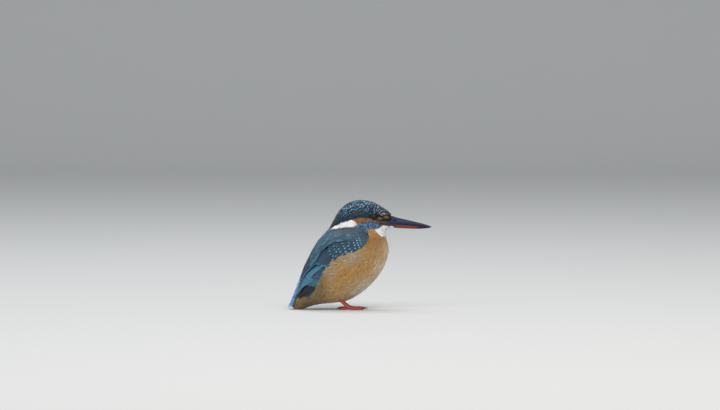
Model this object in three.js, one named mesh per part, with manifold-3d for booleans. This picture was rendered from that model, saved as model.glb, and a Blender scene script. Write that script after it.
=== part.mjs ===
// Common kingfisher (Alcedo atthis), a life-size still model of a perched adult.
// Millimetres, +Z up, the bill points along +X and the bird's right side faces -Y.
// The origin is on the floor, half way between the tip of the bill and the tip of the tail.
//
// The head, neck and torso are one loft whose sections run from a line along the back to a line
// along the throat and belly. The wings lie on that loft as sheets of overlapping vanes.
import * as THREE from "three";
import { mergeVertices } from "three/addons/utils/BufferGeometryUtils.js";
import Module from "manifold-3d";

const wasm = await Module();
wasm.setup();

// ---- Driving dimensions -------------------------------------------------------------------

const GAP = 0.3; // clearance between neighbouring nodes
const BILL_SOCKET = 0.42; // how far the socket for the bill is cut back all round
const BODY_SIDES = 32;
const BODY_RINGS = 42;
const SLOPE_STEP = 0.02; // the step over which the body's slope is measured, in sections

// Sections of the body from the undertail to the bill's base: the point on the back, the point
// on the belly (each x, z), the half width, how boxy the section is (1 is an ellipse), and how
// much wider it is towards the back than towards the belly.
const SECTIONS = [
  { back: [-60.6, 4.6], belly: [-57.6, -0.2], half: 2.4, box: 1.0, lean: 0 },
  { back: [-58.3, 10.4], belly: [-52.9, -0.3], half: 5.4, box: 1.0, lean: 0 },
  { back: [-54.8, 19.9], belly: [-45.1, 2.6], half: 9.4, box: 0.95, lean: 0 },
  { back: [-52.0, 29.8], belly: [-35.2, 4.9], half: 13.4, box: 0.9, lean: 0 },
  { back: [-48.1, 41.0], belly: [-23.0, 6.1], half: 17.0, box: 0.88, lean: 0 },
  { back: [-43.0, 52.7], belly: [-9.1, 9.0], half: 19.6, box: 0.88, lean: 0 },
  { back: [-37.4, 62.2], belly: [7.1, 19.9], half: 20.6, box: 0.88, lean: 0 },
  { back: [-32.3, 68.5], belly: [19.7, 35.2], half: 20.2, box: 0.9, lean: 0 },
  { back: [-28.7, 72.1], belly: [25.7, 51.4], half: 18.4, box: 0.92, lean: 0 },
  { back: [-26.6, 75.2], belly: [23.9, 63.5], half: 15.9, box: 0.95, lean: 0 },
  { back: [-23.5, 81.1], belly: [22.6, 68.4], half: 14.2, box: 0.95, lean: 0.05 },
  { back: [-18.4, 89.5], belly: [23.3, 70.8], half: 12.9, box: 0.95, lean: 0.12 },
  { back: [-10.0, 96.3], belly: [24.8, 72.1], half: 11.4, box: 0.95, lean: 0.18 },
  { back: [0.8, 98.6], belly: [26.2, 72.7], half: 9.6, box: 0.95, lean: 0.2 },
  { back: [12.1, 96.6], belly: [27.4, 73.1], half: 7.8, box: 0.95, lean: 0.18 },
  { back: [21.8, 91.2], belly: [28.2, 73.4], half: 6.1, box: 0.95, lean: 0.1 },
  { back: [27.3, 86.9], belly: [28.7, 73.7], half: 4.8, box: 0.95, lean: 0 },
  { back: [28.0, 84.8], belly: [28.9, 73.9], half: 4.1, box: 0.95, lean: 0 },
];
const LAST = SECTIONS.length - 1;

// The head meets the neck, and the neck the torso, on two flat cuts (x, z at the nape and throat).
const HEAD_CUT = [
  [-26.2, 74.5],
  [22.4, 66.2],
];
const NECK_CUT = [
  [-29.2, 71.5],
  [25.6, 58.1],
];

const CUT_REACH = [90, 60]; // how long and wide the cuts are, past the body all round

const EYE = { x: 12.9, z: 83.5, radius: 2.8, standsOut: 1.35, sides: 14, rows: 8 };
const LID = { radius: 3.05, tube: 0.55, wide: 1.1, high: 0.95, depth: 1.2, sides: 18, round: 5 };
const FACE_SPAN = 4; // how far round the eye the slope of the face is measured

// Bill, from the gape inside the cheek to the tip: x, the height of the culmen, the mouth line
// and the gonys, and the half width.
const BILL = [
  { x: 17.6, culmen: 80.4, mouth: 78.6, gonys: 77.0, half: 6.7 },
  { x: 22.6, culmen: 82.8, mouth: 77.9, gonys: 74.9, half: 5.7 },
  { x: 28.2, culmen: 84.2, mouth: 77.2, gonys: 73.9, half: 4.5 },
  { x: 34.1, culmen: 82.6, mouth: 76.5, gonys: 73.3, half: 3.6 },
  { x: 40.4, culmen: 81.2, mouth: 75.9, gonys: 73.0, half: 2.8 },
  { x: 46.7, culmen: 79.7, mouth: 75.3, gonys: 72.7, half: 2.15 },
  { x: 53.9, culmen: 78.0, mouth: 74.8, gonys: 72.7, half: 1.5 },
  { x: 60.2, culmen: 76.2, mouth: 74.4, gonys: 73.2, half: 0.8 },
  { x: 64.3, culmen: 74.7, mouth: 74.2, gonys: 73.9, half: 0.3 },
];
const MANDIBLE = { sides: 11, rows: 15, crown: 1.15, flank: 1.1, lowerEnds: 0.18 };
const NOSTRIL = { x: 31.2, z: 80.4, long: 1.6, high: 0.5, deep: 0.8, out: 0.8 };

// Folded wing, from its bend to its tip: the lower edge and the upper edge (x, z).
const WING_EDGES = [
  { lower: [7.4, 66.7], upper: [5.8, 70.3] },
  { lower: [4.0, 59.5], upper: [-2.8, 73.0] },
  { lower: [-4.6, 53.2], upper: [-13.6, 72.3] },
  { lower: [-16.3, 48.7], upper: [-26.4, 69.2] },
  { lower: [-27.1, 41.0], upper: [-35.4, 61.4] },
  { lower: [-34.3, 29.3], upper: [-43.4, 48.2] },
  { lower: [-39.8, 17.8], upper: [-49.8, 33.0] },
  { lower: [-45.6, 9.4], upper: [-55.2, 13.4] },
];

// The wing's core lies off the body's side by floor. Its top is at shoulder in front and at rear
// behind, at least at edge, and lower towards the bend by share of that height.
const CORE = {
  floor: 0.72,
  shoulder: 2.3,
  rear: 1.35,
  edge: 1.2,
  bend: { share: 0.6, perStation: 0.5 },
  starts: 0.12,
  ends: 4.9,
  margin: 0.02,
  rows: 8,
  columns: 6,
};

// Tiers of wing feathers, the lowest first. Places are [along, across]: along counts the stations
// of WING_EDGES, and across runs from 0 on the lower edge to 1 on the upper edge. root and tip
// each hold the place for the tier's outermost feather and for its innermost one. bottom and top
// are the heights of a feather's faces off the body's side.
const FLIGHT_ROWS = [0, 0.32, 0.66, 1];
const COVERT_ROWS = [0, 0.55, 1];
const WING_TIERS = {
  primaries: {
    count: 5, rows: FLIGHT_ROWS, half: 2.3, bottom: 0.85, top: 1.4,
    root: [[4.2, 0.08], [4.9, 0.42]],
    tip: [[6.75, 0.06], [7.0, 0.82]],
  },
  secondaries: {
    count: 6, rows: FLIGHT_ROWS, half: 1.95, bottom: 0.95, top: 1.75,
    root: [[2.9, 0.12], [3.2, 0.68]],
    tip: [[5.95, 0.06], [6.65, 0.84]],
  },
  tertials: {
    count: 3, rows: FLIGHT_ROWS, half: 2.3, bottom: 1.1, top: 2.2,
    root: [[3.0, 0.7], [2.8, 0.9]],
    tip: [[6.4, 0.9], [5.2, 0.93]],
  },
  greaterCoverts: {
    count: 6, rows: COVERT_ROWS, half: 1.95, bottom: 1.1, top: 2.25,
    root: [[2.6, 0.1], [3.2, 0.74]],
    tip: [[4.15, 0.06], [5.0, 0.76]],
  },
  medianCoverts: {
    count: 5, rows: COVERT_ROWS, half: 2.2, bottom: 1.2, top: 2.75,
    root: [[1.8, 0.1], [2.8, 0.68]],
    tip: [[3.2, 0.07], [4.2, 0.7]],
  },
  lesserCoverts: {
    count: 4, rows: COVERT_ROWS, half: 2.7, bottom: 1.4, top: 3.15,
    root: [[1.1, 0.15], [1.9, 0.66]],
    tip: [[2.35, 0.1], [3.2, 0.66]],
  },
  shoulderCoverts: {
    count: 3, rows: COVERT_ROWS, half: 3.0, bottom: 1.4, top: 3.5,
    root: [[0.4, 0.3], [0.8, 0.7]],
    tip: [[1.6, 0.15], [2.2, 0.62]],
  },
  scapulars: {
    count: 5, rows: COVERT_ROWS, half: 2.6, bottom: 1.3, top: 3.3,
    root: [[2.6, 0.95], [0.9, 0.75]],
    tip: [[4.5, 0.92], [2.7, 0.7]],
  },
};
const WING_SINK = { keeps: 0.3, most: 1.2 }; // how much of a wing feather's root stays, or sinks
const SHINGLE = 0.2; // how far a wing feather's outer edge is raised and its inner edge lowered
// A vane widens from its root to widestAt, its sides turn in to its tip at tipAt, and the sunken
// part of its root ends at sunkTo. Places are shares of its length, and widths of its full width.
const VANE = { rootWide: 0.55, widestAt: 0.5, tipAt: 0.87, tipWide: 0.56, sunkTo: 0.56 };

// Tail: points on its top centre line from root to tip (x, z), and its feathers.
const TAIL_LINE = [
  [-50.6, 38.0],
  [-54.4, 26.0],
  [-57.5, 17.0],
  [-60.9, 9.2],
  [-63.35, 3.6],
];
const TAIL = {
  feathers: 12,
  spread: [3.4, 11.6], // between the outermost shafts, at the root and at the tip
  half: 0.9,
  heights: { bottom: 0.6, top: 1.15 },
  sink: 0.2,
  tilt: 0.12, // how far a feather's outer edge is raised and its inner edge lowered
  stack: 1.5, // how much lower the outermost feathers lie than the middle ones
  stagger: 0.01, // how much further back each root starts than the one before it, as a share
  roof: [0.02, 0.055], // how the sides slope down at the root and at the tip
  rounding: 0.06, // how much shorter the outermost feathers are, as a share
};
const TAIL_COVERTS = [
  { count: 5, to: 0.72, spread: 6.0, half: 1.15, bottom: 0.85, top: 1.65, sink: 0.7 },
  { count: 4, to: 0.45, spread: 4.6, half: 1.2, bottom: 1.1, top: 2.1, sink: 0.7 },
];

// Legs: the tarsus runs from inside the belly down to the toes, which lie flat on the floor.
const LEG = {
  heel: [-18.2, 9.2],
  joint: [-10.4, 2.0],
  out: 8.6,
  radius: 1.45,
  waist: 0.92, // the radius half way down, as a share
  flare: 0.1, // how much wider it is at both ends, as a share
  knuckle: 1.12,
  sides: 10,
};
// A toe's radius goes from wide to narrow, with a bulge at each pad, and its middle settles to
// its height over the floor within a distance from the foot's joint.
const TOE = {
  radius: 1.2,
  wide: 1.08,
  narrow: 0.82,
  bulge: 0.1,
  end: 0.7,
  height: 0.82,
  settles: 3.5,
  sides: 6,
  rowsPerPad: 3,
};
const CLAW = { radius: 0.65, point: 0.2, from: 1.02, arch: 0.55, turn: 0.75, falls: 0.5, rows: 5 };
// Each toe: its heading from straight ahead (towards the middle of the bird), its length
// without the claw, its number of pads, and its claw's length.
const TOES = {
  inner: { heading: 20, length: 8.6, pads: 2, claw: 3.4 },
  middle: { heading: 3, length: 13.4, pads: 3, claw: 4.2 },
  outer: { heading: -11, length: 11.8, pads: 3, claw: 3.8 },
  hind: { heading: 172, length: 7.2, pads: 2, claw: 3.6 },
};

const COLOURS = {
  crown: 0x1d4f63,
  rufous: 0xc07a35,
  wing: 0x1f5f70,
  tail: 0x2f7fc4,
  bill: 0x23222c,
  billBelow: 0x9a4a2c,
  eye: 0x120b08,
  leg: 0xb8322a,
  claw: 0x1f1716,
};

// ---- Curves and solids --------------------------------------------------------------------

// The Catmull-Rom curve through a list of numbers, at place t counted in list entries.
function curve(values, t) {
  const last = values.length - 1;
  const i = Math.min(Math.max(Math.floor(t), 0), last - 1);
  const f = t - i;
  const at = (k) =>
    k < 0 ? 2 * values[0] - values[1] : k > last ? 2 * values[last] - values[last - 1] : values[k];
  const [a, b, c, d] = [at(i - 1), at(i), at(i + 1), at(i + 2)];
  return (
    0.5 *
    (2 * b + (c - a) * f + (2 * a - 5 * b + 4 * c - d) * f * f + (3 * b - a - 3 * c + d) * f ** 3)
  );
}

const mix = (a, b, t) => a + (b - a) * t;

function solidOf(geometry) {
  const plain = geometry.clone();
  plain.deleteAttribute("normal");
  plain.deleteAttribute("uv");
  const merged = mergeVertices(plain, 1e-4);
  const vertProperties = merged.attributes.position.array;
  const build = (triVerts) =>
    new wasm.Manifold(new wasm.Mesh({ numProp: 3, vertProperties, triVerts }));
  const triangles = new Uint32Array(merged.index.array);
  const solid = build(triangles);
  if (solid.volume() > 0) return solid;
  for (let i = 0; i < triangles.length; i += 3)
    [triangles[i + 1], triangles[i + 2]] = [triangles[i + 2], triangles[i + 1]];
  return build(triangles);
}

function geometryOf(solid) {
  const mesh = solid.getMesh();
  const positions = new Float32Array(mesh.numVert * 3);
  for (let i = 0; i < mesh.numVert; i++)
    positions.set(mesh.vertProperties.subarray(i * mesh.numProp, i * mesh.numProp + 3), i * 3);
  const geometry = new THREE.BufferGeometry();
  geometry.setAttribute("position", new THREE.BufferAttribute(positions, 3));
  geometry.setIndex(new THREE.BufferAttribute(mesh.triVerts, 1));
  return geometry;
}

function indexed(points, triangles) {
  const geometry = new THREE.BufferGeometry();
  const numbers = points.flatMap((p) => [p.x, p.y, p.z]);
  geometry.setAttribute("position", new THREE.Float32BufferAttribute(numbers, 3));
  geometry.setIndex(triangles);
  return geometry;
}

// A closed tube through rings of points, with a fan at each end.
function loft(rings) {
  const sides = rings[0].length;
  const points = rings.flat();
  const triangles = [];
  for (let r = 0; r + 1 < rings.length; r++)
    for (let k = 0; k < sides; k++) {
      const [a, b] = [r * sides + k, r * sides + ((k + 1) % sides)];
      triangles.push(a, b, a + sides, b, b + sides, a + sides);
    }
  for (const r of [0, rings.length - 1]) {
    const centre = new THREE.Vector3();
    rings[r].forEach((p) => centre.addScaledVector(p, 1 / sides));
    points.push(centre);
    for (let k = 0; k < sides; k++) {
      const edge = [r * sides + k, r * sides + ((k + 1) % sides)];
      if (r === 0) edge.reverse();
      triangles.push(...edge, points.length - 1);
    }
  }
  return solidOf(indexed(points, triangles));
}

// A closed sheet between a top and a bottom grid of points, split into the same triangles.
function sheet(top, bottom) {
  const rows = top.length;
  const columns = top[0].length;
  const points = [...top.flat(), ...bottom.flat()];
  const under = rows * columns;
  const triangles = [];
  for (let i = 0; i + 1 < rows; i++)
    for (let j = 0; j + 1 < columns; j++) {
      const a = i * columns + j;
      const [b, c, d] = [a + 1, a + columns, a + columns + 1];
      triangles.push(a, b, c, b, d, c);
      triangles.push(under + a, under + c, under + b, under + b, under + c, under + d);
    }
  const rim = [];
  for (let j = 0; j + 1 < columns; j++) rim.push(j);
  for (let i = 0; i + 1 < rows; i++) rim.push(i * columns + columns - 1);
  for (let j = columns - 1; j > 0; j--) rim.push((rows - 1) * columns + j);
  for (let i = rows - 1; i > 0; i--) rim.push(i * columns);
  rim.forEach((a, n) => {
    const b = rim[(n + 1) % rim.length];
    triangles.push(b, a, under + a, b, under + a, under + b);
  });
  return solidOf(indexed(points, triangles));
}

const union = (solids) => solids.reduce((all, solid) => all.add(solid));

// The largest closed surface of a solid, with any hollow inside it filled.
function largest(solid) {
  return solid.decompose().reduce((a, b) => (b.volume() > a.volume() ? b : a));
}

const boxSolid = (size, matrix) => solidOf(new THREE.BoxGeometry(...size).applyMatrix4(matrix));

// ---- The body's surface -------------------------------------------------------------------

const column = (key, axis) =>
  SECTIONS.map((s) => (axis === undefined ? s[key] : s[key][axis]));
const BACK_X = column("back", 0);
const BACK_Z = column("back", 1);
const BELLY_X = column("belly", 0);
const BELLY_Z = column("belly", 1);
const HALF = column("half");
const BOX = column("box");
const LEAN = column("lean");

// Rounded rises and dips of the head's side (x, z, reach along and up, height), in millimetres.
const HEAD_RELIEF = [
  { x: EYE.x, z: EYE.z, along: 3.4, up: 3.0, height: -0.8 }, // eye socket
  { x: EYE.x + 1.0, z: EYE.z + 4.6, along: 5.0, up: 1.6, height: 0.5 }, // brow
  { x: EYE.x + 8.0, z: EYE.z - 1.2, along: 4.0, up: 2.0, height: -0.4 }, // lores
  { x: 21.5, z: 77.4, along: 6.5, up: 3.6, height: -2.4 }, // where the bill leaves the face
  { x: EYE.x - 10.0, z: EYE.z - 4.5, along: 6.0, up: 3.0, height: 0.6 }, // ear coverts
];

function relief(x, z) {
  return HEAD_RELIEF.reduce((sum, r) => {
    const d = ((x - r.x) / r.along) ** 2 + ((z - r.z) / r.up) ** 2;
    return sum + r.height * Math.exp(-d);
  }, 0);
}

// A point of the bare loft. turn is 0 on the back and pi on the belly, by way of the right side.
function loftPoint(section, turn) {
  const backX = curve(BACK_X, section);
  const backZ = curve(BACK_Z, section);
  const bellyX = curve(BELLY_X, section);
  const bellyZ = curve(BELLY_Z, section);
  const down = (1 - Math.cos(turn)) / 2;
  const x = mix(backX, bellyX, down);
  const z = mix(backZ, bellyZ, down);
  const side = Math.abs(Math.sin(turn)) ** curve(BOX, section);
  const lean = 1 + curve(LEAN, section) * Math.cos(turn);
  const out = (curve(HALF, section) * lean + relief(x, z)) * side;
  return new THREE.Vector3(x, -Math.sign(Math.sin(turn)) * out, z);
}

// A point that stands off the loft by height, along the surface's normal.
function bodyPoint(section, turn, height = 0) {
  const point = loftPoint(section, turn);
  if (height === 0) return point;
  const [before, after] = [section - SLOPE_STEP, section + SLOPE_STEP];
  const along = loftPoint(after, turn).sub(loftPoint(before, turn));
  const round = loftPoint(section, turn + SLOPE_STEP).sub(loftPoint(section, turn - SLOPE_STEP));
  return point.addScaledVector(round.cross(along).normalize(), height);
}

// The section and turn of the loft's right side at a place seen from the side.
function sideChart([x, z]) {
  const ahead = (section) => {
    const [bx, bz] = [curve(BACK_X, section), curve(BACK_Z, section)];
    const [vx, vz] = [curve(BELLY_X, section) - bx, curve(BELLY_Z, section) - bz];
    return vx * (z - bz) - vz * (x - bx);
  };
  let [low, high] = [0, LAST];
  for (let i = 0; i < 40; i++) {
    const middle = (low + high) / 2;
    if (ahead(middle) > 0) low = middle;
    else high = middle;
  }
  const [bx, bz] = [curve(BACK_X, low), curve(BACK_Z, low)];
  const [vx, vz] = [curve(BELLY_X, low) - bx, curve(BELLY_Z, low) - bz];
  const down = ((x - bx) * vx + (z - bz) * vz) / (vx * vx + vz * vz);
  const cosine = Math.min(Math.max(1 - 2 * down, -0.999), 0.999);
  return { section: low, turn: Math.acos(cosine) };
}

// How far the loft's side lies from the bird's middle plane at a place seen from the side.
function sideHalf(x, z) {
  const { section, turn } = sideChart([x, z]);
  return Math.abs(loftPoint(section, turn).y);
}

function bodyLoft(grow) {
  const ring = (section) =>
    Array.from({ length: BODY_SIDES }, (_, k) =>
      bodyPoint(section, ((k + 0.5) / BODY_SIDES) * 2 * Math.PI, grow),
    );
  return loft(Array.from({ length: BODY_RINGS }, (_, r) => ring((r / (BODY_RINGS - 1)) * LAST)));
}

// A thin cut through the body along a line from the nape to the throat.
function thinCut([nape, throat]) {
  const [dx, dz] = [throat[0] - nape[0], throat[1] - nape[1]];
  const matrix = new THREE.Matrix4()
    .makeTranslation((nape[0] + throat[0]) / 2, 0, (nape[1] + throat[1]) / 2)
    .multiply(new THREE.Matrix4().makeRotationY(Math.atan2(-dz, dx)));
  return boxSolid([...CUT_REACH, GAP], matrix);
}

// ---- Bill, eyes and lids ------------------------------------------------------------------

// One half of the bill: side 1 is the upper mandible and -1 the lower, with rounded ridges.
function mandible(side, grow = 0) {
  const { sides, rows } = MANDIBLE;
  const ridge = BILL.map((b) => (side > 0 ? b.culmen : b.gonys));
  const end = BILL.length - 1 - (side > 0 ? 0 : MANDIBLE.lowerEnds);
  const ringAt = (r) => {
    const t = (r / (rows - 1)) * end;
    const x = curve(BILL.map((b) => b.x), t) + grow * ((2 * r) / (rows - 1) - 1);
    const mouth = curve(BILL.map((b) => b.mouth), t) + (side * GAP) / 2;
    const half = curve(BILL.map((b) => b.half), t) + grow;
    return Array.from({ length: sides }, (_, k) => {
      const turn = (k / (sides - 1)) * Math.PI;
      const rise = Math.sin(turn) ** MANDIBLE.crown;
      const out = Math.sign(Math.cos(turn)) * Math.abs(Math.cos(turn)) ** MANDIBLE.flank;
      const edge = k % (sides - 1) === 0;
      const z = mix(mouth, curve(ridge, t), rise) + side * grow * (edge ? -1 : rise);
      return new THREE.Vector3(x, half * out + (edge ? 0.6 * grow * out : 0), z);
    });
  };
  return loft(Array.from({ length: rows }, (_, r) => ringAt(r)));
}

function nostril(side) {
  const t = 2 + (NOSTRIL.x - BILL[2].x) / (BILL[3].x - BILL[2].x);
  const half = mix(BILL[2].half, BILL[3].half, t - 2) * NOSTRIL.out;
  const slit = new THREE.SphereGeometry(1, 10, 6).scale(NOSTRIL.long, NOSTRIL.deep, NOSTRIL.high);
  return solidOf(slit.translate(NOSTRIL.x, side * half, NOSTRIL.z));
}

// The place of a piece of the right eye, whose axis is +Z, so that it looks out of the head from
// a distance outwards from the face.
function socket(out) {
  const slope = (dx, dz) =>
    (sideHalf(EYE.x + dx, EYE.z + dz) - sideHalf(EYE.x - dx, EYE.z - dz)) / (2 * FACE_SPAN);
  const normal = new THREE.Vector3(-slope(FACE_SPAN, 0), -1, -slope(0, FACE_SPAN)).normalize();
  const at = new THREE.Vector3(EYE.x, -sideHalf(EYE.x, EYE.z), EYE.z);
  const turn = new THREE.Matrix4().lookAt(normal, new THREE.Vector3(), new THREE.Vector3(0, 0, 1));
  return turn.setPosition(at.addScaledVector(normal, out));
}

const BALL_PLACE = socket(EYE.standsOut - EYE.radius);
const LID_PLACE = socket(EYE.standsOut - EYE.radius + LID.depth);
const ballGeometry = (grow = 0) =>
  new THREE.SphereGeometry(EYE.radius + grow, EYE.sides, EYE.rows);

const lidGeometry = () =>
  new THREE.TorusGeometry(LID.radius, LID.tube, LID.round, LID.sides)
    .scale(LID.wide, LID.high, 1)
    .applyMatrix4(LID_PLACE);

// ---- Feather vanes ------------------------------------------------------------------------

// A vane on a chart(along, across, height), from its narrow root to its rounded tip. Its outer
// edge is raised and its inner edge lowered by the tilt, and its root lies sunk by the sink.
function vane(chart, { root, tip, rows, half, bottom, top, tilt, sink }) {
  const faces = [[], []];
  for (const t of rows) {
    const last = t === 1;
    const share = last ? VANE.tipWide : mix(VANE.rootWide, 1, Math.min(t / VANE.widestAt, 1));
    const pointAt = (side, height) => {
      const pulled = last && side !== 0 ? VANE.tipAt : t;
      const along = mix(root[0], tip[0], pulled);
      const across = mix(root[1], tip[1], pulled);
      const [near, far] = [across - SLOPE_STEP, across + SLOPE_STEP];
      const wide = chart(along, far, 0).distanceTo(chart(along, near, 0));
      const reach = (half * share * 2 * SLOPE_STEP) / wide;
      return chart(along, across + side * reach, height - tilt * side);
    };
    const sunk = sink * Math.max(1 - t / VANE.sunkTo, 0);
    [top - sunk, bottom].forEach((height, face) => {
      faces[face].push([-1, 0, 1].map((side) => pointAt(side, height)));
    });
  }
  return sheet(...faces);
}

const WING_LOWER = WING_EDGES.map((e) => sideChart(e.lower));
const WING_UPPER = WING_EDGES.map((e) => sideChart(e.upper));

// The folded wing's surface, height above the body's side.
function wingChart(along, across, height) {
  const at = (edge, key) => curve(edge.map((p) => p[key]), along);
  const section = mix(at(WING_LOWER, "section"), at(WING_UPPER, "section"), across);
  const turn = mix(at(WING_LOWER, "turn"), at(WING_UPPER, "turn"), across);
  return bodyPoint(section, turn, height);
}

// The wing's core, thickest at the shoulder and thinning to the roots of the flight feathers.
function wingCore() {
  const { rows, columns, bend, margin } = CORE;
  const faces = [[], []];
  for (let i = 0; i <= rows; i++) {
    const along = mix(CORE.starts, CORE.ends, i / rows);
    const share = Math.min(1, bend.share + along * bend.perStation);
    const full = mix(CORE.shoulder, CORE.rear, i / rows) * share;
    const domed = (across) => Math.max(full * (1 - (2 * across - 1) ** 4), CORE.edge);
    const place = (j) => mix(margin, 1 - margin, j / columns);
    const places = Array.from({ length: columns + 1 }, (_, j) => place(j));
    faces[0].push(places.map((across) => wingChart(along, across, domed(across))));
    faces[1].push(places.map((across) => wingChart(along, across, CORE.floor)));
  }
  return sheet(...faces);
}

function wing() {
  const pieces = [wingCore()];
  for (const { count, root, tip, ...shape } of Object.values(WING_TIERS))
    for (let i = 0; i < count; i++) {
      const t = i / (count - 1);
      const between = ([outer, inner]) => [mix(outer[0], inner[0], t), mix(outer[1], inner[1], t)];
      const feather = { ...shape, root: between(root), tip: between(tip) };
      const sink = Math.min(feather.top - feather.bottom - WING_SINK.keeps, WING_SINK.most);
      pieces.push(vane(wingChart, { ...feather, tilt: SHINGLE, sink }));
    }
  return largest(union(pieces));
}

// The tail's surface: along from 0 at the root to 1 at the tip, across in millimetres to the
// right, and height above the centre line's underside. Its sides slope down like a roof.
function tailChart(along, across, height) {
  const xs = TAIL_LINE.map((p) => p[0]);
  const zs = TAIL_LINE.map((p) => p[1]);
  const t = along * (TAIL_LINE.length - 1);
  const step = 0.01;
  const heading = new THREE.Vector3(
    curve(xs, t + step) - curve(xs, t - step),
    0,
    curve(zs, t + step) - curve(zs, t - step),
  ).normalize();
  const up = new THREE.Vector3(heading.z, 0, -heading.x);
  const drop = mix(...TAIL.roof, along) * across * across;
  return new THREE.Vector3(curve(xs, t), -across, curve(zs, t)).addScaledVector(up, height - drop);
}

function tail() {
  const pieces = [];
  const addRow = (count, spread, to, { bottom, top, ...shape }) => {
    for (let i = 0; i < count; i++) {
      const place = (2 * i) / (count - 1) - 1;
      const out = Math.abs(place);
      const root = [TAIL.stagger * i, (place * TAIL.spread[0]) / 2];
      const tip = [to - TAIL.rounding * out * out, (place * spread) / 2];
      const tilt = -TAIL.tilt * Math.sign(place);
      const lift = -TAIL.stack * out;
      const heights = { bottom: bottom + lift, top: top + lift };
      pieces.push(vane(tailChart, { ...shape, ...heights, root, tip, tilt }));
    }
  };
  const { half, sink, heights } = TAIL;
  addRow(TAIL.feathers, TAIL.spread[1], 1, { ...heights, half, sink, rows: FLIGHT_ROWS });
  for (const { count, spread, to, ...shape } of TAIL_COVERTS)
    addRow(count, spread, to, { ...shape, rows: COVERT_ROWS });
  return largest(union(pieces));
}

// ---- Legs ---------------------------------------------------------------------------------

// A round tube along a path of {at, radius} stops.
function tube(stops, sides) {
  const rings = stops.map(({ at, radius }, i) => {
    const before = stops[Math.max(i - 1, 0)].at;
    const after = stops[Math.min(i + 1, stops.length - 1)].at;
    const heading = after.clone().sub(before).normalize();
    const across = new THREE.Vector3(0, 0, 1).cross(heading);
    if (across.length() < 1e-3) across.set(0, 1, 0);
    across.normalize();
    const up = heading.clone().cross(across);
    return Array.from({ length: sides }, (_, k) => {
      const turn = ((k + 0.5) / sides) * 2 * Math.PI;
      return at
        .clone()
        .addScaledVector(across, Math.cos(turn) * radius)
        .addScaledVector(up, Math.sin(turn) * radius);
    });
  });
  return loft(rings);
}

const jointOf = () => new THREE.Vector3(LEG.joint[0], -LEG.out, LEG.joint[1]);

// Where a toe of the right foot is at a distance from the foot's joint.
function toePlace(toe, distance) {
  const turn = (toe.heading * Math.PI) / 180;
  const joint = jointOf();
  const settled = Math.min(distance / TOE.settles, 1);
  return new THREE.Vector3(
    joint.x + distance * Math.cos(turn),
    joint.y + distance * Math.sin(turn),
    mix(joint.z, TOE.radius * TOE.height, settled),
  );
}

function toeSolid(toe) {
  const rows = toe.pads * TOE.rowsPerPad;
  const stops = [];
  for (let i = 0; i <= rows; i++) {
    const t = i / rows;
    const pad = -TOE.bulge * Math.cos(2 * Math.PI * toe.pads * t);
    const radius = TOE.radius * (mix(TOE.wide, TOE.narrow, t) + pad) * (i === rows ? TOE.end : 1);
    stops.push({ at: toePlace(toe, t * toe.length), radius });
  }
  return tube(stops, TOE.sides);
}

// A claw along +X from its own base, arching up and coming down to its point.
function clawSolid(length) {
  const stops = Array.from({ length: CLAW.rows + 1 }, (_, i) => {
    const t = i / CLAW.rows;
    const height = CLAW.from + CLAW.arch * Math.sin(t * Math.PI * CLAW.turn) - CLAW.falls * t;
    return {
      at: new THREE.Vector3(t * length, 0, height),
      radius: mix(CLAW.radius, CLAW.point, t),
    };
  });
  return largest(tube(stops, TOE.sides).subtract(FLOOR));
}

const FLOOR = boxSolid([200, 100, 20], new THREE.Matrix4().makeTranslation(0, 0, -10));

function legSolid() {
  const heel = new THREE.Vector3(LEG.heel[0], -LEG.out, LEG.heel[1]);
  const joint = jointOf();
  const shank = [0, 0.25, 0.5, 0.75, 1].map((t) => ({
    at: heel.clone().lerp(joint, t),
    radius: LEG.radius * (LEG.waist + LEG.flare * Math.abs(2 * t - 1)),
  }));
  const knuckle = new THREE.SphereGeometry(LEG.radius * LEG.knuckle, LEG.sides, LEG.sides - 2);
  const pieces = [tube(shank, LEG.sides), solidOf(knuckle.translate(...joint))];
  pieces.push(...Object.values(TOES).map(toeSolid));
  return largest(union(pieces).subtract(FLOOR).subtract(bodyLoft(GAP)));
}

// ---- The bird -----------------------------------------------------------------------------

// The right side's own pieces lie in one group, and the left side's in a mirrored one.
const bird = new THREE.Group();
bird.name = "kingfisher";
const sides = { right: new THREE.Group(), left: new THREE.Group() };
sides.left.scale.y = -1;
bird.add(sides.right, sides.left);

const materialOf = (color, roughness) =>
  new THREE.MeshStandardMaterial({ color, roughness, metalness: 0 });

function addNode(name, geometry, color, roughness = 0.7, group = bird) {
  const mesh = new THREE.Mesh(geometry, materialOf(color, roughness));
  mesh.name = name;
  group.add(mesh);
  return mesh;
}

// A node on each side, named PART_right and PART_left with the suffix, at a place on the right.
function addPair(part, geometry, color, roughness, suffix = "", place = new THREE.Matrix4()) {
  for (const [side, group] of Object.entries(sides))
    addNode(`${part}_${side}${suffix}`, geometry, color, roughness, group).applyMatrix4(place);
}

const middleHeight = (solid) => {
  const { min, max } = solid.boundingBox();
  return (min[2] + max[2]) / 2;
};
const [torso, neck, headPlain] = bodyLoft(0)
  .subtract(union([thinCut(HEAD_CUT), thinCut(NECK_CUT)]))
  .decompose()
  .sort((a, b) => middleHeight(a) - middleHeight(b));

const bothSides = (geometry) => union([solidOf(geometry), solidOf(geometry.scale(1, -1, 1))]);
const eyeHoles = bothSides(ballGeometry(GAP).applyMatrix4(BALL_PLACE));
const billHole = union([mandible(1, BILL_SOCKET), mandible(-1, BILL_SOCKET)]);
const head = headPlain.add(bothSides(lidGeometry())).subtract(union([eyeHoles, billHole]));
addNode("head", geometryOf(largest(head)), COLOURS.crown);
addNode("neck", geometryOf(neck), COLOURS.rufous);
addNode("torso", geometryOf(largest(torso.subtract(FLOOR))), COLOURS.rufous);

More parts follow.
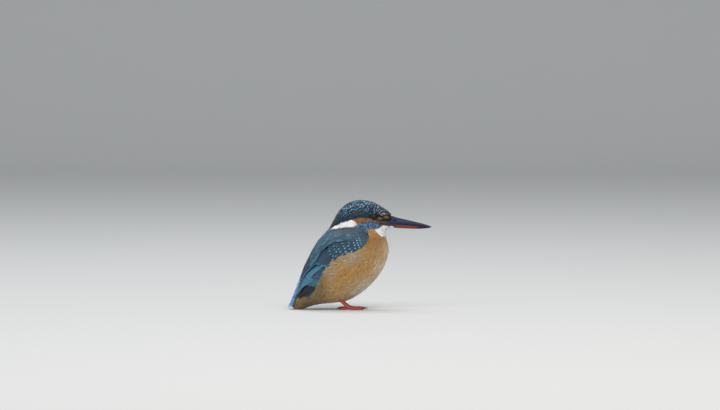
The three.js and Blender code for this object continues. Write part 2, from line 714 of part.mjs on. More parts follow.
const upper = largest(mandible(1).subtract(union([nostril(-1), nostril(1)])));
addNode("bill_upper", geometryOf(upper), COLOURS.bill, 0.35);
addNode("bill_lower", geometryOf(mandible(-1)), COLOURS.billBelow, 0.35);

addPair("eye", ballGeometry(), COLOURS.eye, 0.08, "", BALL_PLACE);
addPair("wing", geometryOf(wing()), COLOURS.wing);
addNode("tail", geometryOf(tail()), COLOURS.tail);
addPair("leg", geometryOf(legSolid()), COLOURS.leg, 0.55);
for (const [name, toe] of Object.entries(TOES)) {
  const base = toePlace(toe, toe.length + 1.5 * GAP).setZ(0);
  const place = new THREE.Matrix4().makeRotationZ((toe.heading * Math.PI) / 180).setPosition(base);
  addPair("claw", geometryOf(clawSolid(toe.claw)), COLOURS.claw, 0.4, `_${name}`, place);
}

export default bird;
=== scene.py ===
"""Common kingfisher (Alcedo atthis): plumage, bill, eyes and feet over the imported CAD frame.

The shape functions work in millimetres, +Z up, with the bill along +X and the bird's right side
towards -Y, and meshes are made in metres. The head, neck and torso are one loft, read as a chart
of (section, turn): section runs from the undertail to the bill and turn is 0 on the back and pi on
the belly, by way of the right side. The wings are a chart of (along, across) laid on that loft.
Every feather is a thin closed vane that lies on one of the charts.
"""

import math

import bpy
import numpy as np
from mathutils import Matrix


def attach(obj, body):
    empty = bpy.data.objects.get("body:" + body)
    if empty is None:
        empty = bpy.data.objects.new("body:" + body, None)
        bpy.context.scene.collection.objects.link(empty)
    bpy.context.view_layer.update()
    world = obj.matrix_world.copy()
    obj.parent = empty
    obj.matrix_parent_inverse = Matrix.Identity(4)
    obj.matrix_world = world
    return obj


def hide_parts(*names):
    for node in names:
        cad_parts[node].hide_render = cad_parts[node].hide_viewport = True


bl_info = {
    "name": "Common kingfisher",
    "version": (1, 0, 0),
    "blender": (4, 5, 0),
    "location": "View3D > Sidebar > Kingfisher",
    "description": "Dresses the packed kingfisher frame in feathers, horn and skin",
    "category": "Add Mesh",
}

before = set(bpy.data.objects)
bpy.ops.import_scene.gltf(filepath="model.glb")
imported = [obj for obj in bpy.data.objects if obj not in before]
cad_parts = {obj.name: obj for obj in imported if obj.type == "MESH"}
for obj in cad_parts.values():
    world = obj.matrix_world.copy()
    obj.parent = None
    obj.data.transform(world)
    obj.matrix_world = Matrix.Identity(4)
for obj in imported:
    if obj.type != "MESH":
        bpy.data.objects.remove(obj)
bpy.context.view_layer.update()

MM = 0.001
TAU = 2 * math.pi
TINY = 1e-9  # keeps divisions off zero
GROUND = 0.04  # millimetres: no point of a piece goes below this
SIDES = (("right", False), ("left", True))  # and whether a piece is mirrored there

# ---- Sizes of the frame's solids, in millimetres -------------------------------------------

# Body sections from the undertail to the bill's base: back x, z, belly x, z, half width,
# boxiness (1 is an ellipse) and how much wider the section is towards the back.
SECTIONS = np.array([
    [-60.6, 4.6, -57.6, -0.2, 2.4, 1.00, 0.00],
    [-58.3, 10.4, -52.9, -0.3, 5.4, 1.00, 0.00],
    [-54.8, 19.9, -45.1, 2.6, 9.4, 0.95, 0.00],
    [-52.0, 29.8, -35.2, 4.9, 13.4, 0.90, 0.00],
    [-48.1, 41.0, -23.0, 6.1, 17.0, 0.88, 0.00],
    [-43.0, 52.7, -9.1, 9.0, 19.6, 0.88, 0.00],
    [-37.4, 62.2, 7.1, 19.9, 20.6, 0.88, 0.00],
    [-32.3, 68.5, 19.7, 35.2, 20.2, 0.90, 0.00],
    [-28.7, 72.1, 25.7, 51.4, 18.4, 0.92, 0.00],
    [-26.6, 75.2, 23.9, 63.5, 15.9, 0.95, 0.00],
    [-23.5, 81.1, 22.6, 68.4, 14.2, 0.95, 0.05],
    [-18.4, 89.5, 23.3, 70.8, 12.9, 0.95, 0.12],
    [-10.0, 96.3, 24.8, 72.1, 11.4, 0.95, 0.18],
    [0.8, 98.6, 26.2, 72.7, 9.6, 0.95, 0.20],
    [12.1, 96.6, 27.4, 73.1, 7.8, 0.95, 0.18],
    [21.8, 91.2, 28.2, 73.4, 6.1, 0.95, 0.10],
    [27.3, 86.9, 28.7, 73.7, 4.8, 0.95, 0.00],
    [28.0, 84.8, 28.9, 73.9, 4.1, 0.95, 0.00],
])
LAST = len(SECTIONS) - 1

EYE = {"x": 12.9, "z": 83.5, "radius": 2.8, "stands_out": 1.35}

# Rounded rises and dips of the head's side: x, z, reach along, reach up, height.
RELIEF = np.array([
    [EYE["x"], EYE["z"], 3.4, 3.0, -0.8],  # eye socket
    [EYE["x"] + 1.0, EYE["z"] + 4.6, 5.0, 1.6, 0.5],  # brow
    [EYE["x"] + 8.0, EYE["z"] - 1.2, 4.0, 2.0, -0.4],  # lores
    [21.5, 77.4, 6.5, 3.6, -2.4],  # where the bill leaves the face
    [EYE["x"] - 10.0, EYE["z"] - 4.5, 6.0, 3.0, 0.6],  # ear coverts
])

# Bill from the gape to the tip: x, height of the culmen, mouth line and gonys, half width.
BILL = np.array([
    [17.6, 80.4, 78.6, 77.0, 6.7],
    [22.6, 82.8, 77.9, 74.9, 5.7],
    [28.2, 84.2, 77.2, 73.9, 4.5],
    [34.1, 82.6, 76.5, 73.3, 3.6],
    [40.4, 81.2, 75.9, 73.0, 2.8],
    [46.7, 79.7, 75.3, 72.7, 2.15],
    [53.9, 78.0, 74.8, 72.7, 1.5],
    [60.2, 76.2, 74.4, 73.2, 0.8],
    [64.3, 74.7, 74.2, 73.9, 0.3],
])

# Folded wing from its bend to its tip: lower edge x, z and upper edge x, z.
WING_EDGES = np.array([
    [7.4, 66.7, 5.8, 70.3],
    [4.0, 59.5, -2.8, 73.0],
    [-4.6, 53.2, -13.6, 72.3],
    [-16.3, 48.7, -26.4, 69.2],
    [-27.1, 41.0, -35.4, 61.4],
    [-34.3, 29.3, -43.4, 48.2],
    [-39.8, 17.8, -49.8, 33.0],
    [-45.6, 9.4, -55.2, 13.4],
])

# Tail: its top centre line from root to tip (x, z).
TAIL_LINE = np.array(
    [[-50.6, 38.0], [-54.4, 26.0], [-57.5, 17.0], [-60.9, 9.2], [-63.35, 3.6]]
)
TAIL_ROOF = (0.02, 0.055)  # how its sides slope down at the root and at the tip

LEG = {"heel": (-18.2, 9.2), "joint": (-10.4, 2.0), "out": 8.6, "radius": 1.45}
TOE_RADIUS = 1.2
TOE_SETTLES = 3.5
# Toes: heading in degrees towards the bird's middle, length, pads, claw length.
TOES = {
    "inner": (20, 8.6, 2, 3.4),
    "middle": (3, 13.4, 3, 4.2),
    "outer": (-11, 11.8, 3, 3.8),
    "hind": (172, 7.2, 2, 3.6),
}


# ---- Curves and charts ---------------------------------------------------------------------


def mix(a, b, t):
    return a + (b - a) * t


def ease(t):
    """0 below 0, 1 above 1, and 3 t**2 - 2 t**3 between."""
    t = np.clip(t, 0, 1)
    return t * t * (3 - 2 * t)


def fade(value, start, end):
    """0 before start and 1 past end, eased between, whichever of the two is higher."""
    return ease((value - start) / (end - start))


def unit(vectors):
    return vectors / np.maximum(np.linalg.norm(vectors, axis=-1, keepdims=True), TINY)


def curve(values, t):
    """The Catmull-Rom curve through the rows of values, at places t counted in rows."""
    first, last = 2 * values[0] - values[1], 2 * values[-1] - values[-2]
    padded = np.concatenate([[first], values, [last]])
    i = np.clip(np.floor(t).astype(int), 0, len(values) - 2)
    f = (t - i)[..., None] if values.ndim > 1 else t - i
    a, b, c, d = (padded[i + k] for k in range(4))
    return 0.5 * (
        2 * b
        + (c - a) * f
        + (2 * a - 5 * b + 4 * c - d) * f**2
        + (3 * b - a - 3 * c + d) * f**3
    )


def relief(x, z):
    """Sum over RELIEF of height * exp(-(dx / along)**2 - (dz / up)**2)."""
    dx = (x[..., None] - RELIEF[:, 0]) / RELIEF[:, 2]
    dz = (z[..., None] - RELIEF[:, 1]) / RELIEF[:, 3]
    return np.sum(RELIEF[:, 4] * np.exp(-(dx**2) - dz**2), axis=-1)


def loft(section, turn):
    """A point of the body: x and z go from back to belly as (1 - cos turn) / 2, and y is
    (half * (1 + lean * cos turn) + relief) * |sin turn|**box, on the right side first."""
    back_x, back_z, belly_x, belly_z, half, box, lean = np.moveaxis(
        curve(SECTIONS, section), -1, 0
    )
    down = (1 - np.cos(turn)) / 2
    x, z = mix(back_x, belly_x, down), mix(back_z, belly_z, down)
    out = half * (1 + lean * np.cos(turn)) + relief(x, z)
    y = -np.sign(np.sin(turn)) * out * np.abs(np.sin(turn)) ** box
    return np.stack([x, y, z], -1)


# The loft and its outward normals on a fine grid, which every piece reads by bilinear blending.
TABLE_FIRST = -0.8
PER_SECTION = 25
PER_TURN = 640


def loft_table():
    sections = np.arange(TABLE_FIRST, LAST + 0.5, 1 / PER_SECTION)[:, None]
    turns = (np.arange(PER_TURN) / PER_TURN * TAU)[None]
    sections, turns = np.broadcast_arrays(sections, turns)
    step = 0.02
    along = loft(sections + step, turns) - loft(sections - step, turns)
    around = loft(sections, turns + step) - loft(sections, turns - step)
    return np.concatenate([loft(sections, turns), unit(np.cross(around, along))], -1)


LOFT_TABLE = loft_table()


def body(section, turn):
    """Point and outward normal of the plumage's outer surface at (section, turn)."""
    r = np.clip((section - TABLE_FIRST) * PER_SECTION, 0, len(LOFT_TABLE) - 1.001)
    c = turn / TAU * PER_TURN
    i, j = np.floor(r).astype(int), np.floor(c).astype(int)
    f, g = (r - i)[..., None], (c - j)[..., None]
    j, k = j % PER_TURN, (j + 1) % PER_TURN
    near = mix(LOFT_TABLE[i, j], LOFT_TABLE[i, k], g)
    far = mix(LOFT_TABLE[i + 1, j], LOFT_TABLE[i + 1, k], g)
    found = mix(near, far, f)
    return found[..., :3], unit(found[..., 3:])


HALVINGS = 40
OFF_MIDDLE = 0.999  # keeps a turn just off the lines of the back and the belly


def side_chart(x, z):
    """(section, turn) of the right side at a place seen from the side, by halving the range."""

    def seen(section):
        """The section's way from back to belly, and the way from its back to the place."""
        s = curve(SECTIONS, section)
        return s[..., 2] - s[..., 0], s[..., 3] - s[..., 1], x - s[..., 0], z - s[..., 1]

    low, high = np.zeros_like(x), np.full_like(x, LAST)
    for _ in range(HALVINGS):
        middle = (low + high) / 2
        down_x, down_z, dx, dz = seen(middle)
        further = down_x * dz - down_z * dx > 0
        low, high = np.where(further, middle, low), np.where(further, high, middle)
    down_x, down_z, dx, dz = seen(low)
    down = (dx * down_x + dz * down_z) / (down_x**2 + down_z**2)
    return low, np.arccos(np.clip(1 - 2 * down, -OFF_MIDDLE, OFF_MIDDLE))


WING_LOWER = np.stack(side_chart(WING_EDGES[:, 0], WING_EDGES[:, 1]), -1)
WING_UPPER = np.stack(side_chart(WING_EDGES[:, 2], WING_EDGES[:, 3]), -1)


def wing(along, across):
    """Point and normal of the body's side under the right wing: (section, turn) goes straight
    from the curve through WING_LOWER to the curve through WING_UPPER as across goes 0 to 1."""
    lower, upper = curve(WING_LOWER, along), curve(WING_UPPER, along)
    place = mix(lower, upper, across[..., None])
    return body(place[..., 0], place[..., 1])


def tail(along, across):
    """Point and normal of the tail's surface, across in millimetres to the right: the centre
    line's point lowered along its normal by roof * across**2."""
    t, step = along * (len(TAIL_LINE) - 1), 0.01
    heading = unit(curve(TAIL_LINE, t + step) - curve(TAIL_LINE, t - step))
    middle = curve(TAIL_LINE, t)
    roof = mix(*TAIL_ROOF, along)
    up = np.stack([heading[..., 1], -2 * roof * across, -heading[..., 0]], -1)
    drop = roof * across * across
    x = middle[..., 0] - heading[..., 1] * drop
    z = middle[..., 1] + heading[..., 0] * drop
    return np.stack([x, -across, z], -1), unit(up)


def slope(chart, u, v, step=0.01):
    """The chart's point, normal and its two tangents, by central differences."""
    point, normal = chart(u, v)
    du = (chart(u + step, v)[0] - chart(u - step, v)[0]) / (2 * step)
    dv = (chart(u, v + step)[0] - chart(u, v - step)[0]) / (2 * step)
    return point, normal, du, dv


def chart_step(du, dv, direction):
    """The (u, v) step whose move du * u + dv * v comes closest to a direction."""
    e, f, g = (np.sum(a * b, -1) for a, b in ((du, du), (du, dv), (dv, dv)))
    p, q = np.sum(du * direction, -1), np.sum(dv * direction, -1)
    det = np.maximum(e * g - f * f, TINY)
    return np.stack([(g * p - f * q) / det, (e * q - f * p) / det], -1)


# ---- Plumage colours -----------------------------------------------------------------------


def linear(code):
    """An sRGB hex colour as linear red, green and blue."""
    parts = np.array([int(code[i : i + 2], 16) / 255 for i in (1, 3, 5)])
    return np.where(parts <= 0.04045, parts / 12.92, ((parts + 0.055) / 1.055) ** 2.4)


def palette(**codes):
    """Linear colours by name, from sRGB hex colours."""
    return {name: linear(code) for name, code in codes.items()}


COLOURS = palette(
    crown="#182e41",
    crown_low="#142330",
    # crown_spot and brow_spot are the real pale bars, drawn paler so that they carry part of the
    # painted highlight on the crown and forehead.
    crown_spot="#9fd4f2",
    brow_spot="#c8d5e8",
    black="#0d0d12",
    lores="#8a5c33",
    pale="#b8b39c",
    ear="#8c5f2f",
    gape="#553c36",
    white="#fbfaf6",
    malar="#1b4571",
    malar_spot="#9cd4f8",
    mantle="#2f5168",
    azure="#58a9dd",
    rufous="#c99551",
    breast="#a97441",
    flank="#beb197",
    cream="#f2e8d2",
    buff="#edc796",
    belly="#d3a96a",
    vent="#6a583f",
    down="#8c7f72",
)

# Outlines on the side of the head, as x, z points in order.
CROWN_EDGE = [
    (-34.0, 69.0), (-28.0, 72.0), (-24.0, 74.5), (-18.1, 78.0), (-13.6, 79.6), (-8.5, 80.8),
    (-4.6, 82.2), (1.7, 83.0), (5.3, 82.6), (8.9, 83.6), (13.9, 86.4), (18.8, 85.2), (24.2, 85.8),
    (30.0, 84.6), (40.0, 110.0), (-40.0, 110.0),
]
EAR = [
    (-9.2, 81.6), (-4.6, 84.0), (1.7, 84.6), (5.3, 83.6), (8.9, 81.4), (13.4, 80.2), (18.8, 78.8),
    (15.0, 79.2), (10.7, 79.9), (5.3, 79.6), (0.5, 78.3), (-2.4, 77.6), (-3.2, 78.8), (-5.5, 80.2),
]
NECK_PATCH = [
    (-30.0, 72.2), (-25.0, 74.0), (-20.3, 76.6), (-16.0, 78.8), (-12.0, 80.2), (-7.4, 80.9),
    (-4.4, 79.4), (-3.0, 77.2), (-4.4, 75.2), (-13.6, 74.5), (-21.7, 73.2),
]
MALAR = [
    (-5.5, 75.4), (-2.4, 77.3), (1.7, 78.6), (6.2, 79.6), (10.7, 79.8), (15.2, 78.3), (20.8, 76.0),
    (18.4, 74.2), (15.6, 72.9), (12.0, 72.3), (7.5, 72.7), (3.6, 73.8), (-1.5, 74.8),
]
THROAT = [
    (13.2, 69.8), (18.0, 73.2), (20.6, 76.0), (24.0, 77.3), (34.0, 77.5), (34.0, 66.0),
    (24.0, 65.4), (19.0, 64.6), (16.0, 66.6),
]
MASK = [
    (6.6, 82.9), (8.9, 85.6), (13.4, 86.9), (17.2, 85.9), (20.0, 84.9), (24.2, 86.3), (30.0, 85.6),
    (30.0, 79.6), (20.6, 79.4), (14.3, 80.3), (9.8, 81.6),
]
LORAL_SPOT = [
    (20.6, 83.2), (22.0, 84.4), (23.8, 84.9), (25.4, 84.2), (25.6, 82.9), (23.8, 82.2),
    (21.8, 82.3),
]
MANTLE = [
    (8.5, 70.5), (5.0, 73.2), (-1.0, 74.7), (-7.3, 75.0), (-13.6, 74.2), (-24.0, 72.6),
    (-34.0, 72.0), (-80.0, 72.0), (-80.0, 2.0), (-58.5, 2.0), (-53.6, 13.4), (-47.8, 33.0),
    (-41.4, 48.2), (-33.4, 60.0), (-24.4, 67.2), (-13.6, 70.3),
]
WING_OUTLINE = np.concatenate([WING_EDGES[:, :2], WING_EDGES[::-1, 2:]])
WING_SOFT = 8.0  # millimetres over which a place comes to lie under the wing

# Soft patches on the breast, belly and flanks: x, z, reach along, reach up, strength, colour.
PATCHES = [
    # Painted shade: the upper breast is darker under the head and bill.
    (16.0, 62.0, 13.0, 9.0, 0.9, "breast"),
    (16.0, 80.0, 12.0, 5.0, 0.9, "lores"),
    # Partly painted shade: the flank under the wing's lower edge is greyer and duller, partly its
    # own greyish tone and partly the shade beneath the wing.
    (-15.0, 48.0, 15.0, 6.0, 0.8, "flank"),
    (-30.0, 34.0, 6.0, 9.0, 0.6, "flank"),
    # Partly painted shade: the vent's dark brown, where the underside faces down and meets the
    # tail.
    (-38.0, 24.0, 6.0, 10.0, 0.6, "vent"),
    # Partly painted light: buff and cream along the front and bottom of the breast and belly,
    # partly their own paler colour and partly lifting the shade that falls on the underside, with a
    # bright rim along the front.
    (27.0, 46.0, 8.0, 15.0, 0.9, "buff"),
    (28.5, 48.0, 4.5, 14.0, 0.7, "cream"),
    (20.0, 36.0, 8.0, 10.0, 0.95, "buff"),
    (8.0, 23.0, 11.0, 8.0, 0.9, "buff"),
    (20.5, 32.0, 7.0, 9.0, 0.8, "cream"),
    (10.0, 20.0, 9.0, 6.5, 0.7, "cream"),
    (4.0, 15.0, 13.0, 6.0, 0.85, "cream"),
    # Partly painted shade: the undertail's dark brown, as the shadow between it and the tail.
    (-48.0, 4.0, 16.0, 8.0, 0.9, "vent"),
    (-38.0, 14.0, 8.0, 8.0, 0.45, "vent"),
]
# Patches of the same form that are laid between the outlines of the head.
# Painted shade: a dark band round the nape and along the lower edge of the white neck patch, where
# the neck meets the wing.
NAPE_SHADE = (-24.0, 75.0, 14.0, 4.0, 1.0, "crown_low")
GAPE = (18.0, 78.6, 4.5, 1.5, 0.7, "gape")
PALE_LORES = (17.6, 82.1, 1.7, 1.0, 1.0, "pale")

# Where the softer markings start and where they are full, in millimetres.
BELLY_FADE = (34.0, 4.0)  # z, going down
BACK_FADE = (9.0, 14.0)  # z, going up from the undertail
# RUMP_FADE also sets where the rump's sides are painted dark, as shade between the wing's tip and
# the tail.
RUMP_FADE = (40.0, 28.0)  # z, going down
FOREHEAD_FADE = (6.0, 20.0)  # x, going forward
LORES_FADE = (2.0, 3.2)  # y, going out from the forehead's middle
# The azure stripe down the back: half width and softness of its edge, and on the rump how far it
# comes forward of the back's line, and how softly it ends.
STRIPE = {"half": 6.5, "soft": 2.0, "ahead": 2.0, "soft_ahead": 1.2}
BACK_LINE = SECTIONS[:12, :2]  # x, z of the back from the undertail to the nape
# Two rises above the crown's edge and how softly each starts: well inside it, and on top. Below
# the first the crown is painted darker, as shade low on the head's side, and past the second its
# spots show in full, as painted highlight over its real pale bars.
CROWN_INSIDE = (3.2, 6.0)
CROWN_TOP = (8.5, 8.0)
# How strongly the feathers' spots show, where the top of the crown is 1.
SPOTS_SHOW = {"mantle": 0.25, "edge": 0.1, "inside": 0.12, "forehead": 0.85, "malar": 1.0}
BIB = {"half": 4.0, "slope": 0.35}  # the bib's lower edge is level to here, then rises


def inside(x, z, outline, soft):
    """1 inside an outline and 0 outside, easing over soft millimetres across its edge."""
    x, z = x[..., None], z[..., None]
    a = np.array(outline, float)
    b = np.roll(a, -1, axis=0)
    ex, ez = (b - a).T
    share = np.clip(((x - a[:, 0]) * ex + (z - a[:, 1]) * ez) / (ex**2 + ez**2), 0, 1)
    gap = np.hypot(x - a[:, 0] - share * ex, z - a[:, 1] - share * ez).min(-1)
    spans = (a[:, 1] > z) != (b[:, 1] > z)
    rise = np.where(np.abs(ez) < TINY, TINY, ez)
    crossed = spans & (x < a[:, 0] + (z - a[:, 1]) / rise * ex)
    odd = crossed.sum(-1) % 2 == 1
    return ease(0.5 + np.where(odd, gap, -gap) / soft)


def bump(x, z, patch):
    """strength * exp(-(dx / along)**2 - (dz / up)**2) about a patch's centre."""
    middle_x, middle_z, along, up, strength, _ = patch
    return strength * np.exp(-(((x - middle_x) / along) ** 2) - ((z - middle_z) / up) ** 2)


def plumage(points, soft):
    """Colour of the coat at body points, the colour of its feathers' spots, and how strongly the
    spots show. Each marking is laid over the last by its share, and its edge is soft millimetres
    wide."""
    x, y, z = np.moveaxis(points, -1, 0)
    base = np.broadcast_to(COLOURS["rufous"], points.shape).copy()
    spot, spotted = np.zeros_like(points), np.zeros_like(x)

    def lay(share, colour, spots=None, strength=0.0):
        nonlocal base, spot, spotted
        base = mix(base, colour, share[..., None])
        spot = mix(spot, base if spots is None else spots, share[..., None])
        spotted = mix(spotted, strength, share)

    lay(fade(z, *BELLY_FADE), COLOURS["belly"])
    for patch in PATCHES:
        lay(bump(x, z, patch), COLOURS[patch[-1]])

    back = inside(x, z, MANTLE, soft) * fade(z, *BACK_FADE)
    rump = fade(z, *RUMP_FADE)
    ridge = np.interp(z, BACK_LINE[:, 1], BACK_LINE[:, 0])
    on_back = (STRIPE["half"] - np.abs(y)) / STRIPE["soft"]
    on_rump = (ridge + STRIPE["ahead"] - x) / STRIPE["soft_ahead"]
    lay(back, COLOURS["mantle"], COLOURS["crown_spot"], SPOTS_SHOW["mantle"])
    # Painted shade: the rump and lower back beside the azure stripe are darkened, as the shadow
    # between the wing's tip and the tail.
    lay(back * rump, COLOURS["crown_low"])
    lay(back * ease(mix(on_back, on_rump, rump)), COLOURS["azure"])
    lay(2 * inside(x, z, WING_OUTLINE, WING_SOFT).clip(0.5, 1) - 1, COLOURS["mantle"])

    # Painted shade at the nape and under the white neck patch.
    lay(bump(x, z, NAPE_SHADE), COLOURS["crown_low"])
    lay(inside(x, z, NECK_PATCH, soft), COLOURS["white"])
    lay(inside(x, z, EAR, soft), COLOURS["ear"])
    # Painted light on the crown: darker towards its edge as painted shade, and its pale spots
    # strongest on top as painted highlight.
    within = inside(x, z - CROWN_INSIDE[0], CROWN_EDGE, CROWN_INSIDE[1])
    top = inside(x, z - CROWN_TOP[0], CROWN_EDGE, CROWN_TOP[1])
    forehead = fade(x, *FOREHEAD_FADE)
    dark = mix(COLOURS["crown_low"], COLOURS["crown"], within[..., None])
    spots = mix(COLOURS["crown_spot"], COLOURS["brow_spot"], forehead[..., None])
    strength = SPOTS_SHOW["edge"] + SPOTS_SHOW["inside"] * within
    strength = strength + np.maximum(top, SPOTS_SHOW["forehead"] * forehead)
    lay(inside(x, z, CROWN_EDGE, soft), dark, spots, strength)

    bib = z - BIB["slope"] * (np.abs(y) - BIB["half"]).clip(0)
    lay(inside(x, bib, THROAT, soft), COLOURS["white"])
    malar = inside(x, z, MALAR, soft)
    lay(malar, COLOURS["malar"], COLOURS["malar_spot"], SPOTS_SHOW["malar"])
    lay(bump(x, z, GAPE), COLOURS["gape"])
    lay(inside(x, z, MASK, soft), COLOURS["black"])
    beside = fade(np.abs(y), *LORES_FADE)
    lay(inside(x, z, LORAL_SPOT, soft) * beside, COLOURS["lores"])
    lay(bump(x, z, PALE_LORES) * beside, COLOURS["pale"])
    return base, spot, spotted


# ---- Meshes --------------------------------------------------------------------------------


def make_piece(name, points, faces, material, replaced=(), colour=None, maps=None, rim=None):
    """A mesh piece from points in millimetres and a list of face index arrays. maps holds UV
    values per point, and the edges between points of the rim are kept sharp. Points that would
    sink below the ground are raised to it."""
    mesh = bpy.data.meshes.new(name)
    corners = np.concatenate([f.ravel() for f in faces])
    sizes = np.concatenate([np.full(len(f), f.shape[1]) for f in faces])
    mesh.vertices.add(len(points))
    points = np.concatenate([points[:, :2], np.maximum(points[:, 2:], GROUND)], -1)
    mesh.vertices.foreach_set("co", (points * MM).astype(np.float32).ravel())
    mesh.loops.add(len(corners))
    mesh.loops.foreach_set("vertex_index", corners.astype(np.int32))
    mesh.polygons.add(len(sizes))
    starts = np.concatenate([[0], np.cumsum(sizes)[:-1]])
    mesh.polygons.foreach_set("loop_start", starts.astype(np.int32))
    mesh.update(calc_edges=True)
    mesh.shade_smooth()
    for key, values in (maps or {}).items():
        layer = mesh.uv_layers.new(name=key)
        layer.uv.foreach_set("vector", values[corners].astype(np.float32).ravel())
    if colour is not None:
        layer = mesh.color_attributes.new("Plumage", "FLOAT_COLOR", "POINT")
        full = np.concatenate([colour, np.ones((len(colour), 1))], -1)
        layer.data.foreach_set("color", full.astype(np.float32).ravel())
    if rim is not None:
        ends = np.empty(len(mesh.edges) * 2, np.int32)
        mesh.edges.foreach_get("vertices", ends)
        sharp = rim[ends.reshape(-1, 2)].all(1)
        mesh.attributes.new("sharp_edge", "BOOLEAN", "EDGE").data.foreach_set("value", sharp)
    mesh.materials.append(material)
    piece = bpy.data.objects.new(name, mesh)
    bpy.context.scene.collection.objects.link(piece)
    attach(piece, "root")
    if replaced:
        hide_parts(*replaced)
    return piece


def tube_faces(rows, columns):
    """Faces of a closed tube of rows rings, with a pole before the first and after the last:
    the points are the rings in order, then the two poles. Faces point outwards where the rings
    turn clockwise as seen against the tube's direction."""
    ring = np.arange(rows * columns).reshape(rows, columns)
    after = np.roll(ring, -1, axis=1)
    sides = np.stack([ring[:-1], after[:-1], after[1:], ring[1:]], -1).reshape(-1, 4)
    first, last = rows * columns, rows * columns + 1
    start = np.stack([after[0], ring[0], np.full(columns, first)], -1)
    end = np.stack([ring[-1], after[-1], np.full(columns, last)], -1)
    return [sides, np.concatenate([start, end])]


def capped(rings, beyond=(0, 0, 0)):
    """Points of a closed tube: its rings, a pole in the middle of the first one, and a pole that
    far beyond the middle of the last one."""
    return np.concatenate([rings.reshape(-1, 3), [rings[0].mean(0), rings[-1].mean(0) + beyond]])


def on_side(points, faces, mirror):
    """A surface of the bird's right side, or its mirror image with the faces turned round."""
    return (points * [1, -1, 1], [f[:, ::-1] for f in faces]) if mirror else (points, faces)


# ---- Feathers ------------------------------------------------------------------------------

# Forms of feather: shares of the length and of the half width at each row, columns across, how
# far the sides of the tip are pulled back, how ragged the tip is, how far the sides droop, how
# thick the vane is, how much the shaft stands up, and how soon the vane rises.
BODY_FORM = dict(
    rows=(0.0, 0.4, 0.62, 0.82, 1.0),
    widths=(0.4, 0.85, 1.0, 0.92, 0.62),
    columns=9, pull=0.16, fray=0.42, droop=0.03, thick=0.04, shaft=0.0, rise=2.5,
)
CROWN_FORM = dict(
    rows=(0.0, 0.4, 0.7, 0.79, 0.87, 0.94, 1.0),
    widths=(0.5, 0.9, 1.0, 0.96, 0.86, 0.7, 0.4),
    columns=7, pull=0.12, fray=0.14, droop=0.06, thick=0.05, shaft=0.0, rise=1.9,
)
FACE_FORM = dict(
    rows=(0.0, 0.4, 0.75, 1.0),
    widths=(0.55, 1.0, 0.85, 0.3),
    columns=7, pull=0.2, fray=0.4, droop=0.02, thick=0.03, shaft=0.0, rise=2.2,
)
COVERT_FORM = dict(
    rows=(0.0, 0.25, 0.48, 0.64, 0.76, 0.86, 0.94, 1.0),
    widths=(0.45, 0.8, 0.97, 1.0, 0.97, 0.86, 0.65, 0.36),
    columns=9, pull=0.05, fray=0.05, droop=0.16, thick=0.12, shaft=0.05, rise=1.8,
)
FLIGHT_FORM = dict(
    rows=(0.0, 0.12, 0.25, 0.4, 0.55, 0.7, 0.8, 0.88, 0.94, 0.98, 1.0),
    widths=(0.4, 0.7, 0.88, 0.98, 1.0, 1.0, 0.98, 0.9, 0.74, 0.5, 0.28),
    columns=9, pull=0.012, fray=0.01, droop=0.12, thick=0.16, shaft=0.09, rise=2.2,
)


# The tip splits into points from this share of the length: every other column is pulled back in
# full, and the columns between by this share of it.
SPLIT_FROM = 0.5
POINT_PULL = 0.15


def vanes(chart, root, tip, half, low, high, tilt, form, rng):
    """Many feathers of one form on a chart. At share t of the length and s of the half width, a
    point is chart(shaft(t) + s * half * width(t) * across(t)), raised along the normal by
    low + (high - low) * (1 - (1 - t)**rise) - droop * s**2 - tilt * s + shaft * (1 - |s|)**4.
    The lower face shares the rim and lies thick * (1 - s**2) below."""
    count = len(root)
    t = np.array(form["rows"])
    widths = np.array(form["widths"])
    s = np.linspace(-1, 1, form["columns"])
    reach = tip - root
    centre = root[:, None] + reach[:, None] * t[None, :, None]
    _, normal, du, dv = slope(chart, centre[..., 0], centre[..., 1])
    along = du * reach[:, None, 0:1] + dv * reach[:, None, 1:2]
    across = chart_step(du, dv, unit(np.cross(normal, along)))
    share = t[None, :, None] - form["pull"] * s**2 * t[None, :, None] ** 3
    notch = mix(POINT_PULL, 1.0, np.arange(len(s)) % 2)
    ragged = rng.uniform(0, form["fray"], (count, 1, len(s))) * notch
    share = share - ragged * fade(t[None, :, None], SPLIT_FROM, 1.0)
    place = root[:, None, None] + reach[:, None, None] * share[..., None]
    out = (half[:, None] * widths)[..., None] * s
    place = place + across[:, :, None] * out[..., None]
    point, normal = chart(place[..., 0], place[..., 1])
    lift = 1 - (1 - share) ** form["rise"]
    height = low[:, None, None] + (high - low)[:, None, None] * lift
    height = height - form["droop"] * s**2 - tilt[:, None, None] * s
    height = height + form["shaft"] * (1 - np.abs(s)) ** 4
    top = point + normal * height[..., None]
    under = top - normal * (form["thick"] * (1 - s**2))[:, None]

    def both_faces(upper, lower):
        """All values of the upper face, then those of the lower face inside the rim."""
        lower = lower[:, 1:-1, 1:-1]
        flat = [a.reshape(count, -1, *a.shape[3:]) for a in (upper, lower)]
        return np.concatenate(flat, 1)

    middle = len(s) // 2
    sides = np.broadcast_to(s, share.shape)
    return {
        "points": both_faces(top, under),
        "share": both_faces(share, share),
        "side": both_faces(sides, sides),
        "out": both_faces(out, out),
        "length": np.linalg.norm(top[:, -1, middle] - top[:, 0, middle], axis=-1),
        "faces": vane_faces(len(t), len(s)),
    }


